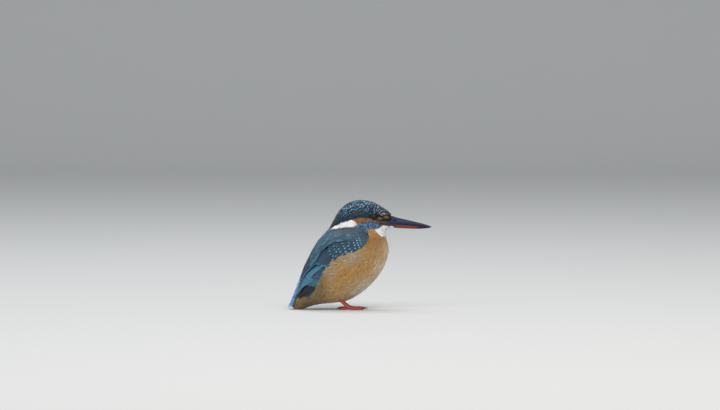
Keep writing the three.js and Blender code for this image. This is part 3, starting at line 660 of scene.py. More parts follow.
def vane_faces(rows, columns):
    """Faces of one vane: the upper grid, then the lower one, which shares the rim."""
    top = np.arange(rows * columns).reshape(rows, columns)
    under = top.copy()
    under[1:-1, 1:-1] = rows * columns + np.arange((rows - 2) * (columns - 2)).reshape(
        rows - 2, -1
    )
    corners = [(slice(None, -1), slice(None, -1)), (slice(1, None), slice(None, -1))]
    corners += [(slice(1, None), slice(1, None)), (slice(None, -1), slice(1, None))]
    upper = np.stack([top[c] for c in corners], -1).reshape(-1, 4)
    lower = np.stack([under[c] for c in corners[::-1]], -1).reshape(-1, 4)
    return np.concatenate([upper, lower])


BAKE_PATCH = 0.003  # side of the square that one vane takes on the unwrap


def feather_piece(name, sets, material, replaced=(), mirror=False):
    """One mesh from sets of vanes, each with its colours and its roots' places on the unwrap."""
    faces, rims, start = [], [], 0
    kept = {"points": [], "colour": [], "vane": [], "bake": []}
    for made in sets:
        count, each = made["points"].shape[:2]
        offsets = (start + np.arange(count) * each)[:, None, None]
        faces.append((made["faces"][None] + offsets).reshape(-1, 4))
        start += count * each
        run = made["share"] * made["length"][:, None]
        within = np.stack([(made["side"] + 1) / 2, made["share"]], -1) * BAKE_PATCH
        kept["points"].append(made["points"].reshape(-1, 3))
        kept["colour"].append(made["colour"].reshape(-1, 3))
        kept["vane"].append(np.stack([made["out"], run], -1).reshape(-1, 2))
        kept["bake"].append((made["unwrap"][:, None] * (1 - BAKE_PATCH) + within).reshape(-1, 2))
        upper, lower = np.array_split(made["faces"], 2)
        rims.append(np.tile(np.isin(np.arange(each), np.intersect1d(upper, lower)), count))
    kept = {key: np.concatenate(values) for key, values in kept.items()}
    points, faces = on_side(kept["points"], [np.concatenate(faces)], mirror)
    maps = {"OFBake": kept["bake"], "Vane": kept["vane"]}
    rim = np.concatenate(rims)
    return make_piece(name, points, faces, material, replaced, kept["colour"], maps, rim)


# Depth of the coat in millimetres on the body, the neck and the bill's base, and the sections
# between which it goes from one to the next. Round the eye, over a reach along and up, it is
# thinner by a share, and it is never deeper than a share of the half width.
COAT_DEPTHS = (1.7, 0.9, 0.45)
COAT_CHANGES = ((8.0, 11.0), (12.5, 16.0))
COAT_BY_EYE = {"along": 6.0, "up": 5.0, "thinner": 0.5}
COAT_MOST = 0.33


def coat_depth(section, x, z):
    """How deep the coat is: thin at the bill and the eye, and deep on the breast and belly."""
    depth = mix(COAT_DEPTHS[0], COAT_DEPTHS[1], fade(section, *COAT_CHANGES[0]))
    depth = mix(depth, COAT_DEPTHS[2], fade(section, *COAT_CHANGES[1]))
    around = (EYE["x"], EYE["z"], COAT_BY_EYE["along"], COAT_BY_EYE["up"], 1.0, None)
    depth = depth * (1 - COAT_BY_EYE["thinner"] * bump(x, z, around))
    return np.minimum(depth, COAT_MOST * curve(SECTIONS[:, 4], section))


# Round the bill's outside, z goes from the mouth line to the ridge or keel as sin**BILL_RISE of
# the turn, and y goes as cos**BILL_OUT.
BILL_RISE, BILL_OUT = 1.15, 1.1


def bill_at(x):
    """Heights of the culmen, mouth line and gonys at x, and the bill's half width there."""
    t = np.interp(x, BILL[:, 0], np.arange(len(BILL)))
    return np.moveaxis(curve(BILL, t), -1, 0)[1:]


def bill_half(x, z):
    """Half width of the bill at (x, z): half * (1 - rise**(2 / BILL_RISE))**(BILL_OUT / 2), where
    rise goes from 0 on the mouth line to 1 on the ridge, and -1 where there is no bill."""
    culmen, mouth, gonys, half = bill_at(x)
    ridge = np.where(z > mouth, culmen - mouth, mouth - gonys)
    rise = np.abs(z - mouth) / ridge
    wide = half * np.maximum(1 - rise ** (2 / BILL_RISE), 0) ** (BILL_OUT / 2)
    return np.where((rise < 1) & (x > BILL[0, 0]), wide, -1.0)


def bill_side(x, turn):
    """Point and normal of the bill's outside: from the left mouth line over the ridge at pi / 2,
    the right mouth line at pi and the keel at 3 pi / 2, with the same curves as bill_rings."""

    def at(x, turn):
        culmen, mouth, gonys, half = bill_at(x)
        ridge = np.where(np.sin(turn) > 0, culmen, gonys)
        z = mix(mouth, ridge, np.abs(np.sin(turn)) ** BILL_RISE)
        y = half * np.sign(np.cos(turn)) * np.abs(np.cos(turn)) ** BILL_OUT
        return np.stack([x, y, z], -1)

    step_x, step_turn = 0.2, 0.05
    ahead = at(x + step_x, turn) - at(x - step_x, turn)
    around = at(x, turn + step_turn) - at(x, turn - step_turn)
    return at(x, turn), unit(np.cross(around, ahead))


# The lattice of feather roots: the section round which its lines are evenly spaced, how many
# places are read round and along the body, and how far roots stray as shares of a step, a whole
# line together and each root by itself.
EVEN_SECTION = 7.0
READ_ROUND, READ_ALONG = 1441, 1600
LINE_STRAY, ROOT_STRAY = 0.12, 0.16


def lattice(columns, aspect, smallest, rng):
    """Feather roots in staggered rows along lines of flow from the bill to the tail. The lines are
    evenly spaced round EVEN_SECTION, every second and fourth line ends where they come closer than
    smallest, and each step along a line is aspect times the distance between lines."""
    ring = np.linspace(0, TAU, READ_ROUND)
    around, _ = body(np.full_like(ring, EVEN_SECTION), ring)
    run = np.concatenate([[0], np.cumsum(np.linalg.norm(np.diff(around, axis=0), axis=1))])
    turns = np.interp((np.arange(columns) + 0.5) / columns * run[-1], run, ring)
    sections = np.linspace(LAST - 0.05, 0.0, READ_ALONG)
    point, _ = body(sections[None], turns[:, None])
    ahead = np.gradient(point, axis=1)
    beside = (np.roll(point, -1, axis=0) - np.roll(point, 1, axis=0)) / 2
    apart = np.linalg.norm(np.cross(beside, unit(ahead)), axis=-1)
    roots = []
    for k in range(columns):
        merge = np.where(apart[k] < smallest / 2, 4, np.where(apart[k] < smallest, 2, 1))
        kept = k % merge == 0
        size = apart[k] * merge
        line = k // merge
        steps = np.linalg.norm(ahead[k], axis=-1) / (aspect * size)
        rows = np.cumsum(steps) + 0.5 * (line % 2) + rng.uniform(-LINE_STRAY, LINE_STRAY)
        at = np.arange(1, math.floor(rows[-1]))
        found = np.interp(at + rng.uniform(-ROOT_STRAY, ROOT_STRAY, len(at)), rows, sections)
        pick = np.searchsorted(-sections, -found).clip(0, len(sections) - 1)
        shift = rng.uniform(-ROOT_STRAY, ROOT_STRAY, len(at)) * (turns[1] - turns[0])
        chosen = np.stack([found, turns[k] + shift, size[pick]], -1)
        roots.append(chosen[kept[pick]])
    return np.concatenate(roots)


# Feathers pass round the eye: the distances in millimetres at which they start to turn and are
# fully turned, and how hard, where 1 would bring them level with its edge.
EYE_PARTING = (7.5, 4.0)
PARTING_TURN = 1.6


def part_round_eye(point, direction, normal):
    """Turns the feathers' direction so that they pass round the eye instead of over it."""
    from_eye = point - [EYE["x"], 0, EYE["z"]]
    from_eye[..., 1] = 0
    gap = np.linalg.norm(from_eye, axis=-1, keepdims=True)
    outward = from_eye / np.maximum(gap, 0.1)
    outward = outward - normal * np.sum(outward * normal, -1, keepdims=True)
    toward = np.minimum(np.sum(direction * outward, -1, keepdims=True), 0)
    bent = direction - outward * toward * PARTING_TURN
    return unit(mix(direction, bent, fade(gap, *EYE_PARTING)))


# Plumage lies in strands of slightly different tone, as waves: how many go round the body, how
# much they bend along it, and their phase.
STRANDS = ((19, 1.6, 0), (34, -1.1, 1), (57, 0.7, 2))
STRAND_DEPTH = 0.16


def strand_tone(section, turn):
    """1 plus STRAND_DEPTH times the mean of the sines of waves * turn + bend * section + phase."""
    sines = [np.sin(waves * turn + bend * section + phase) for waves, bend, phase in STRANDS]
    return 1 + STRAND_DEPTH * sum(sines) / len(sines)


# How the small feathers vary: lowest and highest share of their size and of their lift, and the
# spread of their direction in radians, their tilt in millimetres and their tone.
SIZE_VARIES = (0.85, 1.15)
LIFT_VARIES = (0.2, 1.0)
SWAY, TILT, TONE = 0.13, 0.04, 0.035
COLOUR_AT = 0.75  # share of its length where a feather takes its colour
LAST_TIP = -0.3  # section past the undertail that no feather reaches beyond
ROOT_CLEAR = 0.1  # millimetres by which a root stands out of the skin


def coat(roots, overlap, plump, lift, form, rng, soft, spots, follow=0.0):
    """Feathers on the body's chart at roots of (section, turn, size): each is overlap sizes long
    and plump sizes wide on each side and points towards the tail. Its colour is that of a place
    between its tip and each of its points, by the share follow. A spot starts, peaks and ends at
    the first three shares of the length in spots, and reaches to the last share of the width."""
    section, turn, size = roots.T
    length = overlap * size * rng.uniform(*SIZE_VARIES, len(size))
    sway = rng.normal(0, SWAY, len(size))
    reach = np.zeros((len(size), 2))
    for _ in range(2):
        middle = np.stack([section, turn], -1) + reach / 2
        point, normal, du, dv = slope(body, middle[:, 0], middle[:, 1])
        direction = unit(-du)
        side = np.cross(normal, direction)
        direction = direction * np.cos(sway)[:, None] + side * np.sin(sway)[:, None]
        direction = part_round_eye(point, direction, normal)
        reach = chart_step(du, dv, direction) * length[:, None]
        reach[:, 0] = np.maximum(reach[:, 0], LAST_TIP - section)
    root = np.stack([section, turn], -1)
    point, _ = body(section, turn)
    low = ROOT_CLEAR - coat_depth(section, point[:, 0], point[:, 2])
    high = lift * rng.uniform(*LIFT_VARIES, len(size))
    tilt = rng.normal(0, TILT, len(size))
    half = plump * size * rng.uniform(*SIZE_VARIES, len(size))
    made = vanes(body, root, root + reach, half, low, high, tilt, form, rng)
    tip = body(*(root + reach * COLOUR_AT).T)[0][:, None]
    place = mix(tip, made["points"], follow) if follow else tip
    tone = strand_tone(section, turn) * rng.normal(1, TONE, len(size)).clip(0.9, 1.1)
    made["colour"] = coat_colour(made, place, tone, soft, spots, rng)
    made["unwrap"] = np.stack([(turn / TAU) % 1, section.clip(0, LAST) / LAST], -1)
    return made


SPOT_EDGE = 0.3  # share of the half width over which a spot fades sideways
SPOT_CORE = 1.6  # a spot is at full strength this many times sooner than its peak
SPOTS_VARY = (-0.1, 1.2)  # strength of spots, cut off at 0 and 1, so that a few feathers have none
BARBS_VARY = 0.05  # spread of the tone from barb to barb


def coat_colour(made, place, tone, soft, spots, rng):
    """Colours of small feathers: the marking at a place times the feather's tone, darker towards
    the root, paler on some of the barbs, and with a spot where the marking has spots."""
    base, spot, spotted = plumage(place, soft)
    starts, peaks, ends, wide = spots
    share, side = made["share"], made["side"]
    rising, falling = (share - starts) / (peaks - starts), (ends - share) / (ends - peaks)
    shown = ease(np.minimum(rising, falling) * SPOT_CORE)
    shown = shown * fade(np.abs(side), wide + SPOT_EDGE, wide)
    strength = (rng.uniform(*SPOTS_VARY, (len(base), 1)) * spotted).clip(0, 1)
    colour = mix(base * tone[:, None, None], spot, (shown * strength)[..., None])
    streak = rng.normal(0, BARBS_VARY, share.shape) * fade(share, 0.3, 0.7)
    bright = mix(0.86, 1.0, fade(share, 0.0, 0.6)) * (1 + streak)
    return np.clip(colour * bright[..., None], 0, 1)


# Half width and half height of the bare place round the eye, how far from the bird's middle it
# starts, and the gap kept beside the bill, all in millimetres.
EYE_OPENING, EYE_OUT, BILL_CLEAR = (3.2, 3.0), 3.0, 0.05
WELL_UNDER = 0.88333  # of the wing's soft outline, past which no feather would be seen


def clear_of(roots):
    """Which roots are in the open: not in the bill, in the eye or well under a wing."""
    point, _ = body(roots[:, 0], roots[:, 1])
    x, y, z = point.T
    in_bill = np.abs(y) < bill_half(x, z) + BILL_CLEAR
    from_eye = np.hypot((x - EYE["x"]) / EYE_OPENING[0], (z - EYE["z"]) / EYE_OPENING[1])
    in_eye = (from_eye < 1.0) & (np.abs(y) > EYE_OUT)
    under_wing = inside(x, z, WING_OUTLINE, WING_SOFT) > WELL_UNDER
    return ~(in_bill | in_eye | under_wing)


# ---- Materials -----------------------------------------------------------------------------


def add(nodes, kind, inputs=None, **settings):
    """Adds a shader node: settings are its own properties, and inputs are values, sockets to link,
    or nodes, which stand for their first output."""
    node = nodes.new("ShaderNode" + kind)
    for key, value in settings.items():
        setattr(node, key, value)
    for socket, value in (inputs or {}).items():
        if isinstance(value, bpy.types.Node):
            value = value.outputs[0]
        if isinstance(value, bpy.types.NodeSocket):
            nodes.id_data.links.new(value, node.inputs[socket])
        else:
            node.inputs[socket].default_value = value
    return node


def material(name):
    """An empty node material and its nodes."""
    made = bpy.data.materials.new(name)
    made.use_nodes = True
    made.node_tree.nodes.clear()
    return made, made.node_tree.nodes


# Real barbs are 0.1 to 0.2 mm apart, too fine to show, so each keratin below draws them at about
# 0.3 mm. They slant forward by a share of their length and drift by this many millimetres over
# patches of 1.1 mm, 0.9 to the millimetre. The vane's tone changes over patches of 2.4 mm.
BARB_SLANT, BARB_DRIFT = 0.9, 0.35
DRIFT_PER_MM, MOTTLE_PER_MM = 0.9, 0.42
BARB_RELIEF = 0.015 * MM


def keratin(name, roughness, sheen, spacing, groove, specular, through=0.0):
    """Feather keratin, grown as a vane: barbs run out and forward from the shaft every spacing
    millimetres, as a sine of run - slant * out. They break the gloss and darken the vane a little
    between them. Light goes through loose down by the share through, which softens the shadows
    between its tips."""
    made, nodes = material(name)
    tint = add(nodes, "Attribute", attribute_name="Plumage", attribute_type="GEOMETRY")
    place = add(nodes, "TexCoord").outputs["Object"]
    vane = add(nodes, "SeparateXYZ", {0: add(nodes, "UVMap", uv_map="Vane")})
    out = add(nodes, "Math", {0: vane}, operation="ABSOLUTE")
    slant = {0: out, 1: -BARB_SLANT, 2: vane.outputs[1]}
    slant = add(nodes, "Math", slant, operation="MULTIPLY_ADD")
    drift = add(nodes, "TexNoise", {"Vector": place, "Scale": DRIFT_PER_MM / MM})
    run = add(nodes, "Math", {0: drift, 1: BARB_DRIFT, 2: slant}, operation="MULTIPLY_ADD")
    phase = add(nodes, "Math", {0: run, 1: TAU / spacing}, operation="MULTIPLY")
    wave = add(nodes, "Math", {0: phase}, operation="SINE")
    barb = {"Value": wave, "From Min": -1.0, "From Max": 1.0, "To Min": 1 - groove, "To Max": 1.0}
    mottle = add(nodes, "TexNoise", {"Vector": place, "Scale": MOTTLE_PER_MM / MM})
    cloud = {"Value": mottle, "From Min": 0.3, "From Max": 0.7, "To Min": 0.86, "To Max": 1.1}
    both = {0: add(nodes, "MapRange", barb), 1: add(nodes, "MapRange", cloud)}
    both = add(nodes, "Math", both, operation="MULTIPLY")
    shaded = add(nodes, "VectorMath", {0: tint, "Scale": both}, operation="SCALE")
    ridge = add(nodes, "Bump", {"Height": wave, "Distance": BARB_RELIEF, "Strength": 0.4})
    look = {
        "Base Color": shaded,
        "Roughness": roughness,
        "Normal": ridge,
        "Sheen Weight": sheen,
        "Sheen Roughness": 0.5,
        "Specular IOR Level": specular,
        "Subsurface Weight": through,
        "Subsurface Radius": (1.0, 0.8, 0.6),
        "Subsurface Scale": 0.6 * MM,
    }
    add(nodes, "OutputMaterial", {"Surface": add(nodes, "BsdfPrincipled", look)})
    return made


FLUFF_PER_MM = 1.4  # tufts of down are about 0.7 mm across


def down_skin():
    """Skin under its down, a loose fluff that scatters light: matt, a little grey, and taking the
    coat's colours where it shows between the feathers."""
    made, nodes = material("down_over_skin")
    tint = add(nodes, "Attribute", attribute_name="Plumage", attribute_type="GEOMETRY")
    place = add(nodes, "TexCoord").outputs["Object"]
    fluff = {"Vector": place, "Scale": FLUFF_PER_MM / MM, "Detail": 4.0}
    fluff = add(nodes, "TexNoise", fluff)
    shade = add(nodes, "MapRange", {"Value": fluff, "To Min": 0.65, "To Max": 1.0})
    colour = add(nodes, "VectorMath", {0: tint, "Scale": shade}, operation="SCALE")
    soft = add(nodes, "Bump", {"Height": fluff, "Distance": 0.2 * MM})
    look = {"Base Color": colour, "Roughness": 0.85, "Normal": soft}
    add(nodes, "OutputMaterial", {"Surface": add(nodes, "BsdfPrincipled", look)})
    return made


# Horn's growth streaks are finer than 0.1 mm, so they are drawn at 0.55 mm across and 17 mm long.
# Its colours meet in uneven patches of 3.8 mm that shift them by up to 6 mm.
STREAKS_PER_MM = (0.06, 1.8, 1.8)
HORN_PATCHES_PER_MM, HORN_SHIFT = 0.26, 6.0


def horn(name, stops, roughness, streak_colour, streaks, specular=0.5):
    """Bill or claw horn: keratin that grew forward, so fine streaks run along X and break its low
    gloss, with the colour changing from base to tip by the stops of (x in millimetres, colour)."""
    made, nodes = material(name)
    place = add(nodes, "TexCoord").outputs["Object"]
    along = add(nodes, "SeparateXYZ", {0: place})
    patchy = add(nodes, "TexNoise", {"Vector": place, "Scale": HORN_PATCHES_PER_MM / MM})
    shifted = {0: patchy, 1: HORN_SHIFT * MM, 2: along}
    shifted = add(nodes, "Math", shifted, operation="MULTIPLY_ADD")
    first, last = stops[0][0], stops[-1][0]
    ends = [(x + HORN_SHIFT / 2) * MM for x in (first, last)]
    share = add(nodes, "MapRange", {"Value": shifted, "From Min": ends[0], "From Max": ends[1]})
    ramp = add(nodes, "ValToRGB", {0: share})
    elements = ramp.color_ramp.elements
    while len(elements) < len(stops):
        elements.new(0.5)
    for element, (x, code) in zip(elements, stops):
        element.position = (x - first) / (last - first)
        element.color = (*linear(code), 1)
    scale = tuple(per_mm / MM for per_mm in STREAKS_PER_MM)
    long = add(nodes, "Mapping", {0: place, "Scale": scale})
    grain = add(nodes, "TexNoise", {"Vector": long, "Scale": 1.0, "Detail": 3.0})
    streak = {"Value": grain, "From Min": 0.45, "From Max": 0.75, "To Max": streaks}
    colour = {"Factor": add(nodes, "MapRange", streak), 6: ramp, 7: (*linear(streak_colour), 1)}
    colour = add(nodes, "Mix", colour, data_type="RGBA")
    gloss = {"Value": grain, "To Min": roughness - 0.08, "To Max": roughness + 0.14}
    look = {
        "Base Color": colour.outputs[2],
        "Roughness": add(nodes, "MapRange", gloss),
        "Normal": add(nodes, "Bump", {"Height": grain, "Distance": 0.04 * MM, "Strength": 0.6}),
        "Specular IOR Level": specular,
    }
    add(nodes, "OutputMaterial", {"Surface": add(nodes, "BsdfPrincipled", look)})
    return made


def eye_material():
    """Cornea over an iris: a wet, clear coat with a sharp highlight over the dull colours under
    it, the pupil black and the iris deep brown."""
    made, nodes = material("wet_cornea_over_iris")
    look = {
        "Base Color": add(nodes, "Attribute", attribute_name="Plumage", attribute_type="GEOMETRY"),
        "Roughness": 0.3,
        "Specular IOR Level": 0.0,
        "Coat Weight": 1.0,
        "Coat Roughness": 0.02,
        "Coat IOR": 1.38,
    }
    add(nodes, "OutputMaterial", {"Surface": add(nodes, "BsdfPrincipled", look)})
    return made


BLOTCH_PER_MM = 0.3  # worn patches of the scutes are about 3 mm across


def scaly_skin(name, code, dark_code, scutes_per_mm, roughness):
    """Bare skin of feet and lids: small scutes with darker seams, dry and slightly waxy. On the
    legs they are 0.4 mm across, about their real size, and on the lids drawn as coarse."""
    made, nodes = material(name)
    place = add(nodes, "TexCoord").outputs["Object"]
    cells = {"Vector": place, "Scale": scutes_per_mm / MM}
    cells = add(nodes, "TexVoronoi", cells, feature="DISTANCE_TO_EDGE")
    seam = add(nodes, "MapRange", {"Value": cells, "From Max": 0.09})
    blotch = add(nodes, "TexNoise", {"Vector": place, "Scale": BLOTCH_PER_MM / MM})
    worn = add(nodes, "Math", {0: seam, 1: blotch}, operation="MULTIPLY")
    keep = add(nodes, "MapRange", {"Value": worn, "From Max": 0.6})
    colour = {"Factor": keep, 6: (*linear(dark_code), 1), 7: (*linear(code), 1)}
    colour = add(nodes, "Mix", colour, data_type="RGBA")
    ridges = add(nodes, "Bump", {"Height": seam, "Distance": 0.05 * MM, "Strength": 0.6})
    look = {"Base Color": colour.outputs[2], "Roughness": roughness, "Normal": ridges}
    add(nodes, "OutputMaterial", {"Surface": add(nodes, "BsdfPrincipled", look)})
    return made


FIBRES_PER_MM = 0.6  # drawn far coarser than paper's fibres, so that they show


def paper(name, code):
    """Studio background paper, rolled and uncoated: matt, with a faint fibre."""
    made, nodes = material(name)
    place = add(nodes, "TexCoord").outputs["Object"]
    fibre = add(nodes, "TexNoise", {"Vector": place, "Scale": FIBRES_PER_MM / MM})
    soft = add(nodes, "Bump", {"Height": fibre, "Distance": 0.05 * MM})
    look = {"Base Color": (*linear(code), 1), "Roughness": 0.9, "Normal": soft}
    add(nodes, "OutputMaterial", {"Surface": add(nodes, "BsdfPrincipled", look)})
    return made


# ---- Settings ------------------------------------------------------------------------------


class CoatSettings(bpy.types.PropertyGroup):
    """Sizes of the small feathers of the head and body."""

    crown_lines: bpy.props.IntProperty(
        name="Crown lines", description="Lines of crown feathers round the body", default=74, min=24
    )
    face_lines: bpy.props.IntProperty(
        name="Face lines", description="Lines of face feathers round the body", default=150, min=48
    )
    body_lines: bpy.props.IntProperty(
        name="Body lines", description="Lines of body feathers round the body", default=144, min=32
    )
    bristles: bpy.props.IntProperty(
        name="Bristles",
        description="Short feathers that point forward over the bill's base",
        default=90,
        min=12,
    )
    overlap: bpy.props.FloatProperty(
        name="Overlap",
        description="Length of a body feather in gaps between lines",
        default=7.5,
        min=1.5,
    )
    seed: bpy.props.IntProperty(
        name="Seed", description="Seed of the feathers' variation", default=7
    )


class FaceSettings(bpy.types.PropertyGroup):
    """The eye's colour and its lid."""

    iris: bpy.props.FloatVectorProperty(
        name="Iris",
        description="Colour of the iris",
        subtype="COLOR",
        size=3,
        default=tuple(linear("#1d0e07")),
        min=0,
        max=1,
    )
    lid: bpy.props.FloatProperty(
        name="Lid",
        description="Width of the bare lid round the eye",
        default=0.9 * MM,
        unit="LENGTH",
        min=0,
    )


class StageSettings(bpy.types.PropertyGroup):
    """The camera of the studio."""

    focal_length: bpy.props.FloatProperty(
        name="Lens",
        description="Focal length on a 36 mm sensor",
        default=300.0,
        unit="CAMERA",
        min=20,
    )
    elevation: bpy.props.FloatProperty(
        name="Elevation",
        description="How far the camera looks down",
        default=math.radians(3),
        subtype="ANGLE",
    )
    view_width: bpy.props.FloatProperty(
        name="View width",
        description="Width of the picture at the bird",
        default=0.648,
        unit="LENGTH",
    )
    aim_height: bpy.props.FloatProperty(
        name="Aim height",
        description="Height of the middle of the picture at the bird",
        default=0.0941,
        unit="LENGTH",
    )


# ---- Operators -----------------------------------------------------------------------------


class KINGFISHER_OT_skin(bpy.types.Operator):
    """Make the skin under the coat of the head, neck and torso"""

    bl_idname = "kingfisher.skin"
    bl_label = "Skin"

    def execute(self, context):
        """Rings of body(section, turn) sunk along the normal by the coat's depth."""
        rows, columns = 240, 192
        soft, down = 2.0, 0.25
        section = np.linspace(0.05, LAST - 0.4, rows)[:, None]
        turn = (np.arange(columns) / columns * TAU)[None]
        section, turn = np.broadcast_arrays(section, turn)
        point, normal = body(section, turn)
        depth = coat_depth(section, point[..., 0], point[..., 2])
        points = capped(point - normal * depth[..., None])
        faces = [f[:, ::-1] for f in tube_faces(rows, columns)]
        colour, _, _ = plumage(points, soft)
        pale = fade(colour.max(-1, keepdims=True), 0.0, 0.2)
        colour = mix(colour, COLOURS["down"], down * pale)
        place = np.stack([turn / TAU, section / LAST], -1).reshape(-1, 2)
        maps = {"OFBake": np.concatenate([place, [[0.5, 0.0], [0.5, 1.0]]])}
        replaced = ("head", "neck", "torso")
        make_piece("skin", points, faces, down_skin(), replaced, colour, maps)
        return {"FINISHED"}


# Sections from which the crown's and the face's feathers stand, and up to which the body's do.
CROWN_FROM, FACE_FROM, BODY_TO = 8.4, 9.3, 9.6
# Keratin of the loose feathers of the body and the flanks.
LOOSE_KERATIN = dict(
    roughness=0.75, sheen=0.3, spacing=0.32, groove=0.14, specular=0.2, through=0.4
)
BREAST_FROM = 38.0  # height in millimetres where the belly's feathers become the breast's
BODY_SOFT = 1.6  # millimetres over which a marking's edge eases on the body and the flanks
# Bristles over the bill's base: x of their roots, lengths above and below the bill, half width,
# heights of root and tip, and how far round from the mouth line they start, as a sine.
BRISTLES = {"at": 26.6, "length": (2.4, 3.6), "half": 0.5, "heights": (0.2, 0.12), "clear": 0.6}


class KINGFISHER_OT_head_coat(bpy.types.Operator):
    """Lay the feathers of the crown, face and throat"""

    bl_idname = "kingfisher.head_coat"
    bl_label = "Head feathers"

    def execute(self, context):
        sizes = context.scene.kingfisher_coat
        rng = np.random.default_rng(sizes.seed)
        crown_keratin = keratin(
            "crown_feather", roughness=0.6, sheen=0.1, spacing=0.3, groove=0.3, specular=0.2
        )
        face_keratin = keratin(
            "face_feather", roughness=0.7, sheen=0.15, spacing=0.3, groove=0.12, specular=0.2
        )

        roots = lattice(sizes.crown_lines, aspect=1.15, smallest=1.0, rng=rng)
        roots = roots[clear_of(roots)]
        place, _ = body(roots[:, 0], roots[:, 1])
        crown = inside(place[:, 0], place[:, 2], CROWN_EDGE, 1.0) > 0.4
        crown &= roots[:, 0] > CROWN_FROM
        crown = coat(
            roots[crown], overlap=3.3, plump=0.8, lift=0.14, form=CROWN_FORM, rng=rng,
            soft=0.8, spots=(0.74, 0.87, 1.0, 0.33), follow=0.5,
        )
        feather_piece("crown_feathers", [crown], crown_keratin, ("head",))

        roots = lattice(sizes.face_lines, aspect=1.5, smallest=0.5, rng=rng)
        roots = roots[clear_of(roots)]
        place, _ = body(roots[:, 0], roots[:, 1])
        face = inside(place[:, 0], place[:, 2], CROWN_EDGE, 1.0) < 0.5
        face &= roots[:, 0] > FACE_FROM
        face = coat(
            roots[face], overlap=5.0, plump=0.95, lift=0.07, form=FACE_FORM, rng=rng,
            soft=0.5, spots=(0.62, 0.85, 1.15, 0.6), follow=0.6,
        )
        sets = [face, self.bristles(sizes.bristles, rng)]
        feather_piece("face_feathers", sets, face_keratin, ("head",))
        return {"FINISHED"}

    def bristles(self, count, rng):
        """Feathers on the bill's outside that point forward, dark above and white below."""
        turn = (np.arange(count) + rng.uniform(0.2, 0.8, count)) / count * TAU
        below = fade(-np.sin(turn), 0.0, 0.5)
        root = np.stack([BRISTLES["at"] + rng.uniform(-0.8, 0.8, count), turn], -1)
        reach = mix(*BRISTLES["length"], below) * rng.uniform(0.7, 1.3, count)
        keep = np.abs(np.sin(turn)) > BRISTLES["clear"]
        root, reach, below = root[keep], reach[keep], below[keep]
        tip = root + np.stack([reach, rng.normal(0, 0.05, len(root))], -1)
        flat = np.ones(len(root))
        low, high = (flat * height for height in BRISTLES["heights"])
        half = flat * BRISTLES["half"]
        made = vanes(bill_side, root, tip, half, low, high, flat * 0, FACE_FORM, rng)
        tint = mix(COLOURS["crown_low"], COLOURS["white"], below[:, None])[:, None]
        made["colour"] = tint * rng.uniform(0.8, 1.0, (*made["share"].shape, 1))
        made["unwrap"] = np.stack([root[:, 1] / TAU, flat * 0.99], -1)
        return made


class KINGFISHER_OT_body_coat(bpy.types.Operator):
    """Lay the feathers of the breast, belly, back and undertail"""

    bl_idname = "kingfisher.body_coat"
    bl_label = "Body feathers"

    def execute(self, context):
        sizes = context.scene.kingfisher_coat
        rng = np.random.default_rng(sizes.seed + 1)
        soft_keratin = keratin("soft_body_feather", **LOOSE_KERATIN)
        roots = lattice(sizes.body_lines, aspect=2.2, smallest=0.7, rng=rng)
        roots = roots[clear_of(roots) & (roots[:, 0] < BODY_TO)]
        place, _ = body(roots[:, 0], roots[:, 1])
        on_back = inside(place[:, 0], place[:, 2], MANTLE, 1.0) > 0.5
        breast = ~on_back & (place[:, 2] > BREAST_FROM)
        belly = ~on_back & ~breast
        right = place[:, 1] < 0
        for name, chosen, slot in (
            ("back_feathers", on_back, "plumage_tail"),
            ("breast_feathers_right", breast & right, "plumage_breast"),
            ("breast_feathers_left", breast & ~right, "plumage_breast"),
            ("belly_feathers_right", belly & right, "plumage_breast"),
            ("belly_feathers_left", belly & ~right, "plumage_breast"),
        ):
            made = coat(
                roots[chosen], sizes.overlap, plump=1.25, lift=0.12, form=BODY_FORM, rng=rng,
                soft=BODY_SOFT, spots=(0.7, 0.87, 1.0, 0.75),
            )
            feather_piece(name, [made], soft_keratin, ("neck", "torso"))
        return {"FINISHED"}


# Tiers of wing feathers, the lowest first: look, count, form, half width, heights of the root and
# the tip off the body's side, and the (along, across) of the roots and then of the tips of the
# outermost and the innermost feather.
WING_TIERS = [
    (
        "primary", 9, FLIGHT_FORM, 1.6, (0.5, 1.3),
        ((5.3, -0.02), (5.1, 0.1)), ((6.6, 0.04), (7.2, 0.78)),
    ),
    (
        "secondary", 11, FLIGHT_FORM, 1.8, (0.7, 1.9),
        ((4.9, -0.02), (4.2, 0.2)), ((5.85, 0.15), (7.0, 1.03)),
    ),
    (
        "tertial", 4, FLIGHT_FORM, 2.4, (1.1, 2.5),
        ((3.9, 0.3), (3.4, 0.86)), ((6.4, 1.0), (5.4, 1.16)),
    ),
    (
        "primary_covert", 6, COVERT_FORM, 1.3, (0.9, 2.2),
        ((4.1, 0.0), (4.3, 0.1)), ((5.2, 0.07), (5.75, 0.4)),
    ),
    (
        "greater", 9, COVERT_FORM, 1.6, (1.0, 2.4),
        ((3.1, 0.0), (3.5, 0.42)), ((4.33, 0.04), (5.42, 0.76)),
    ),
]
# Tilt in millimetres by look: below 0, the side towards the wing's lower edge stands up.
WING_LEAN = {"primary": -0.35, "secondary": -0.35, "tertial": -0.1}
OTHER_LEAN = -0.2
# Tips that lie across the wing past the first of these places go under the back's feathers, and
# past the second are the full drop in millimetres lower.
UNDER_BACK = (1.0, 1.2)
UNDER_BACK_DROP = 1.6
WING_STRAY = (0.03, 0.006)  # spread of the tips, along and across
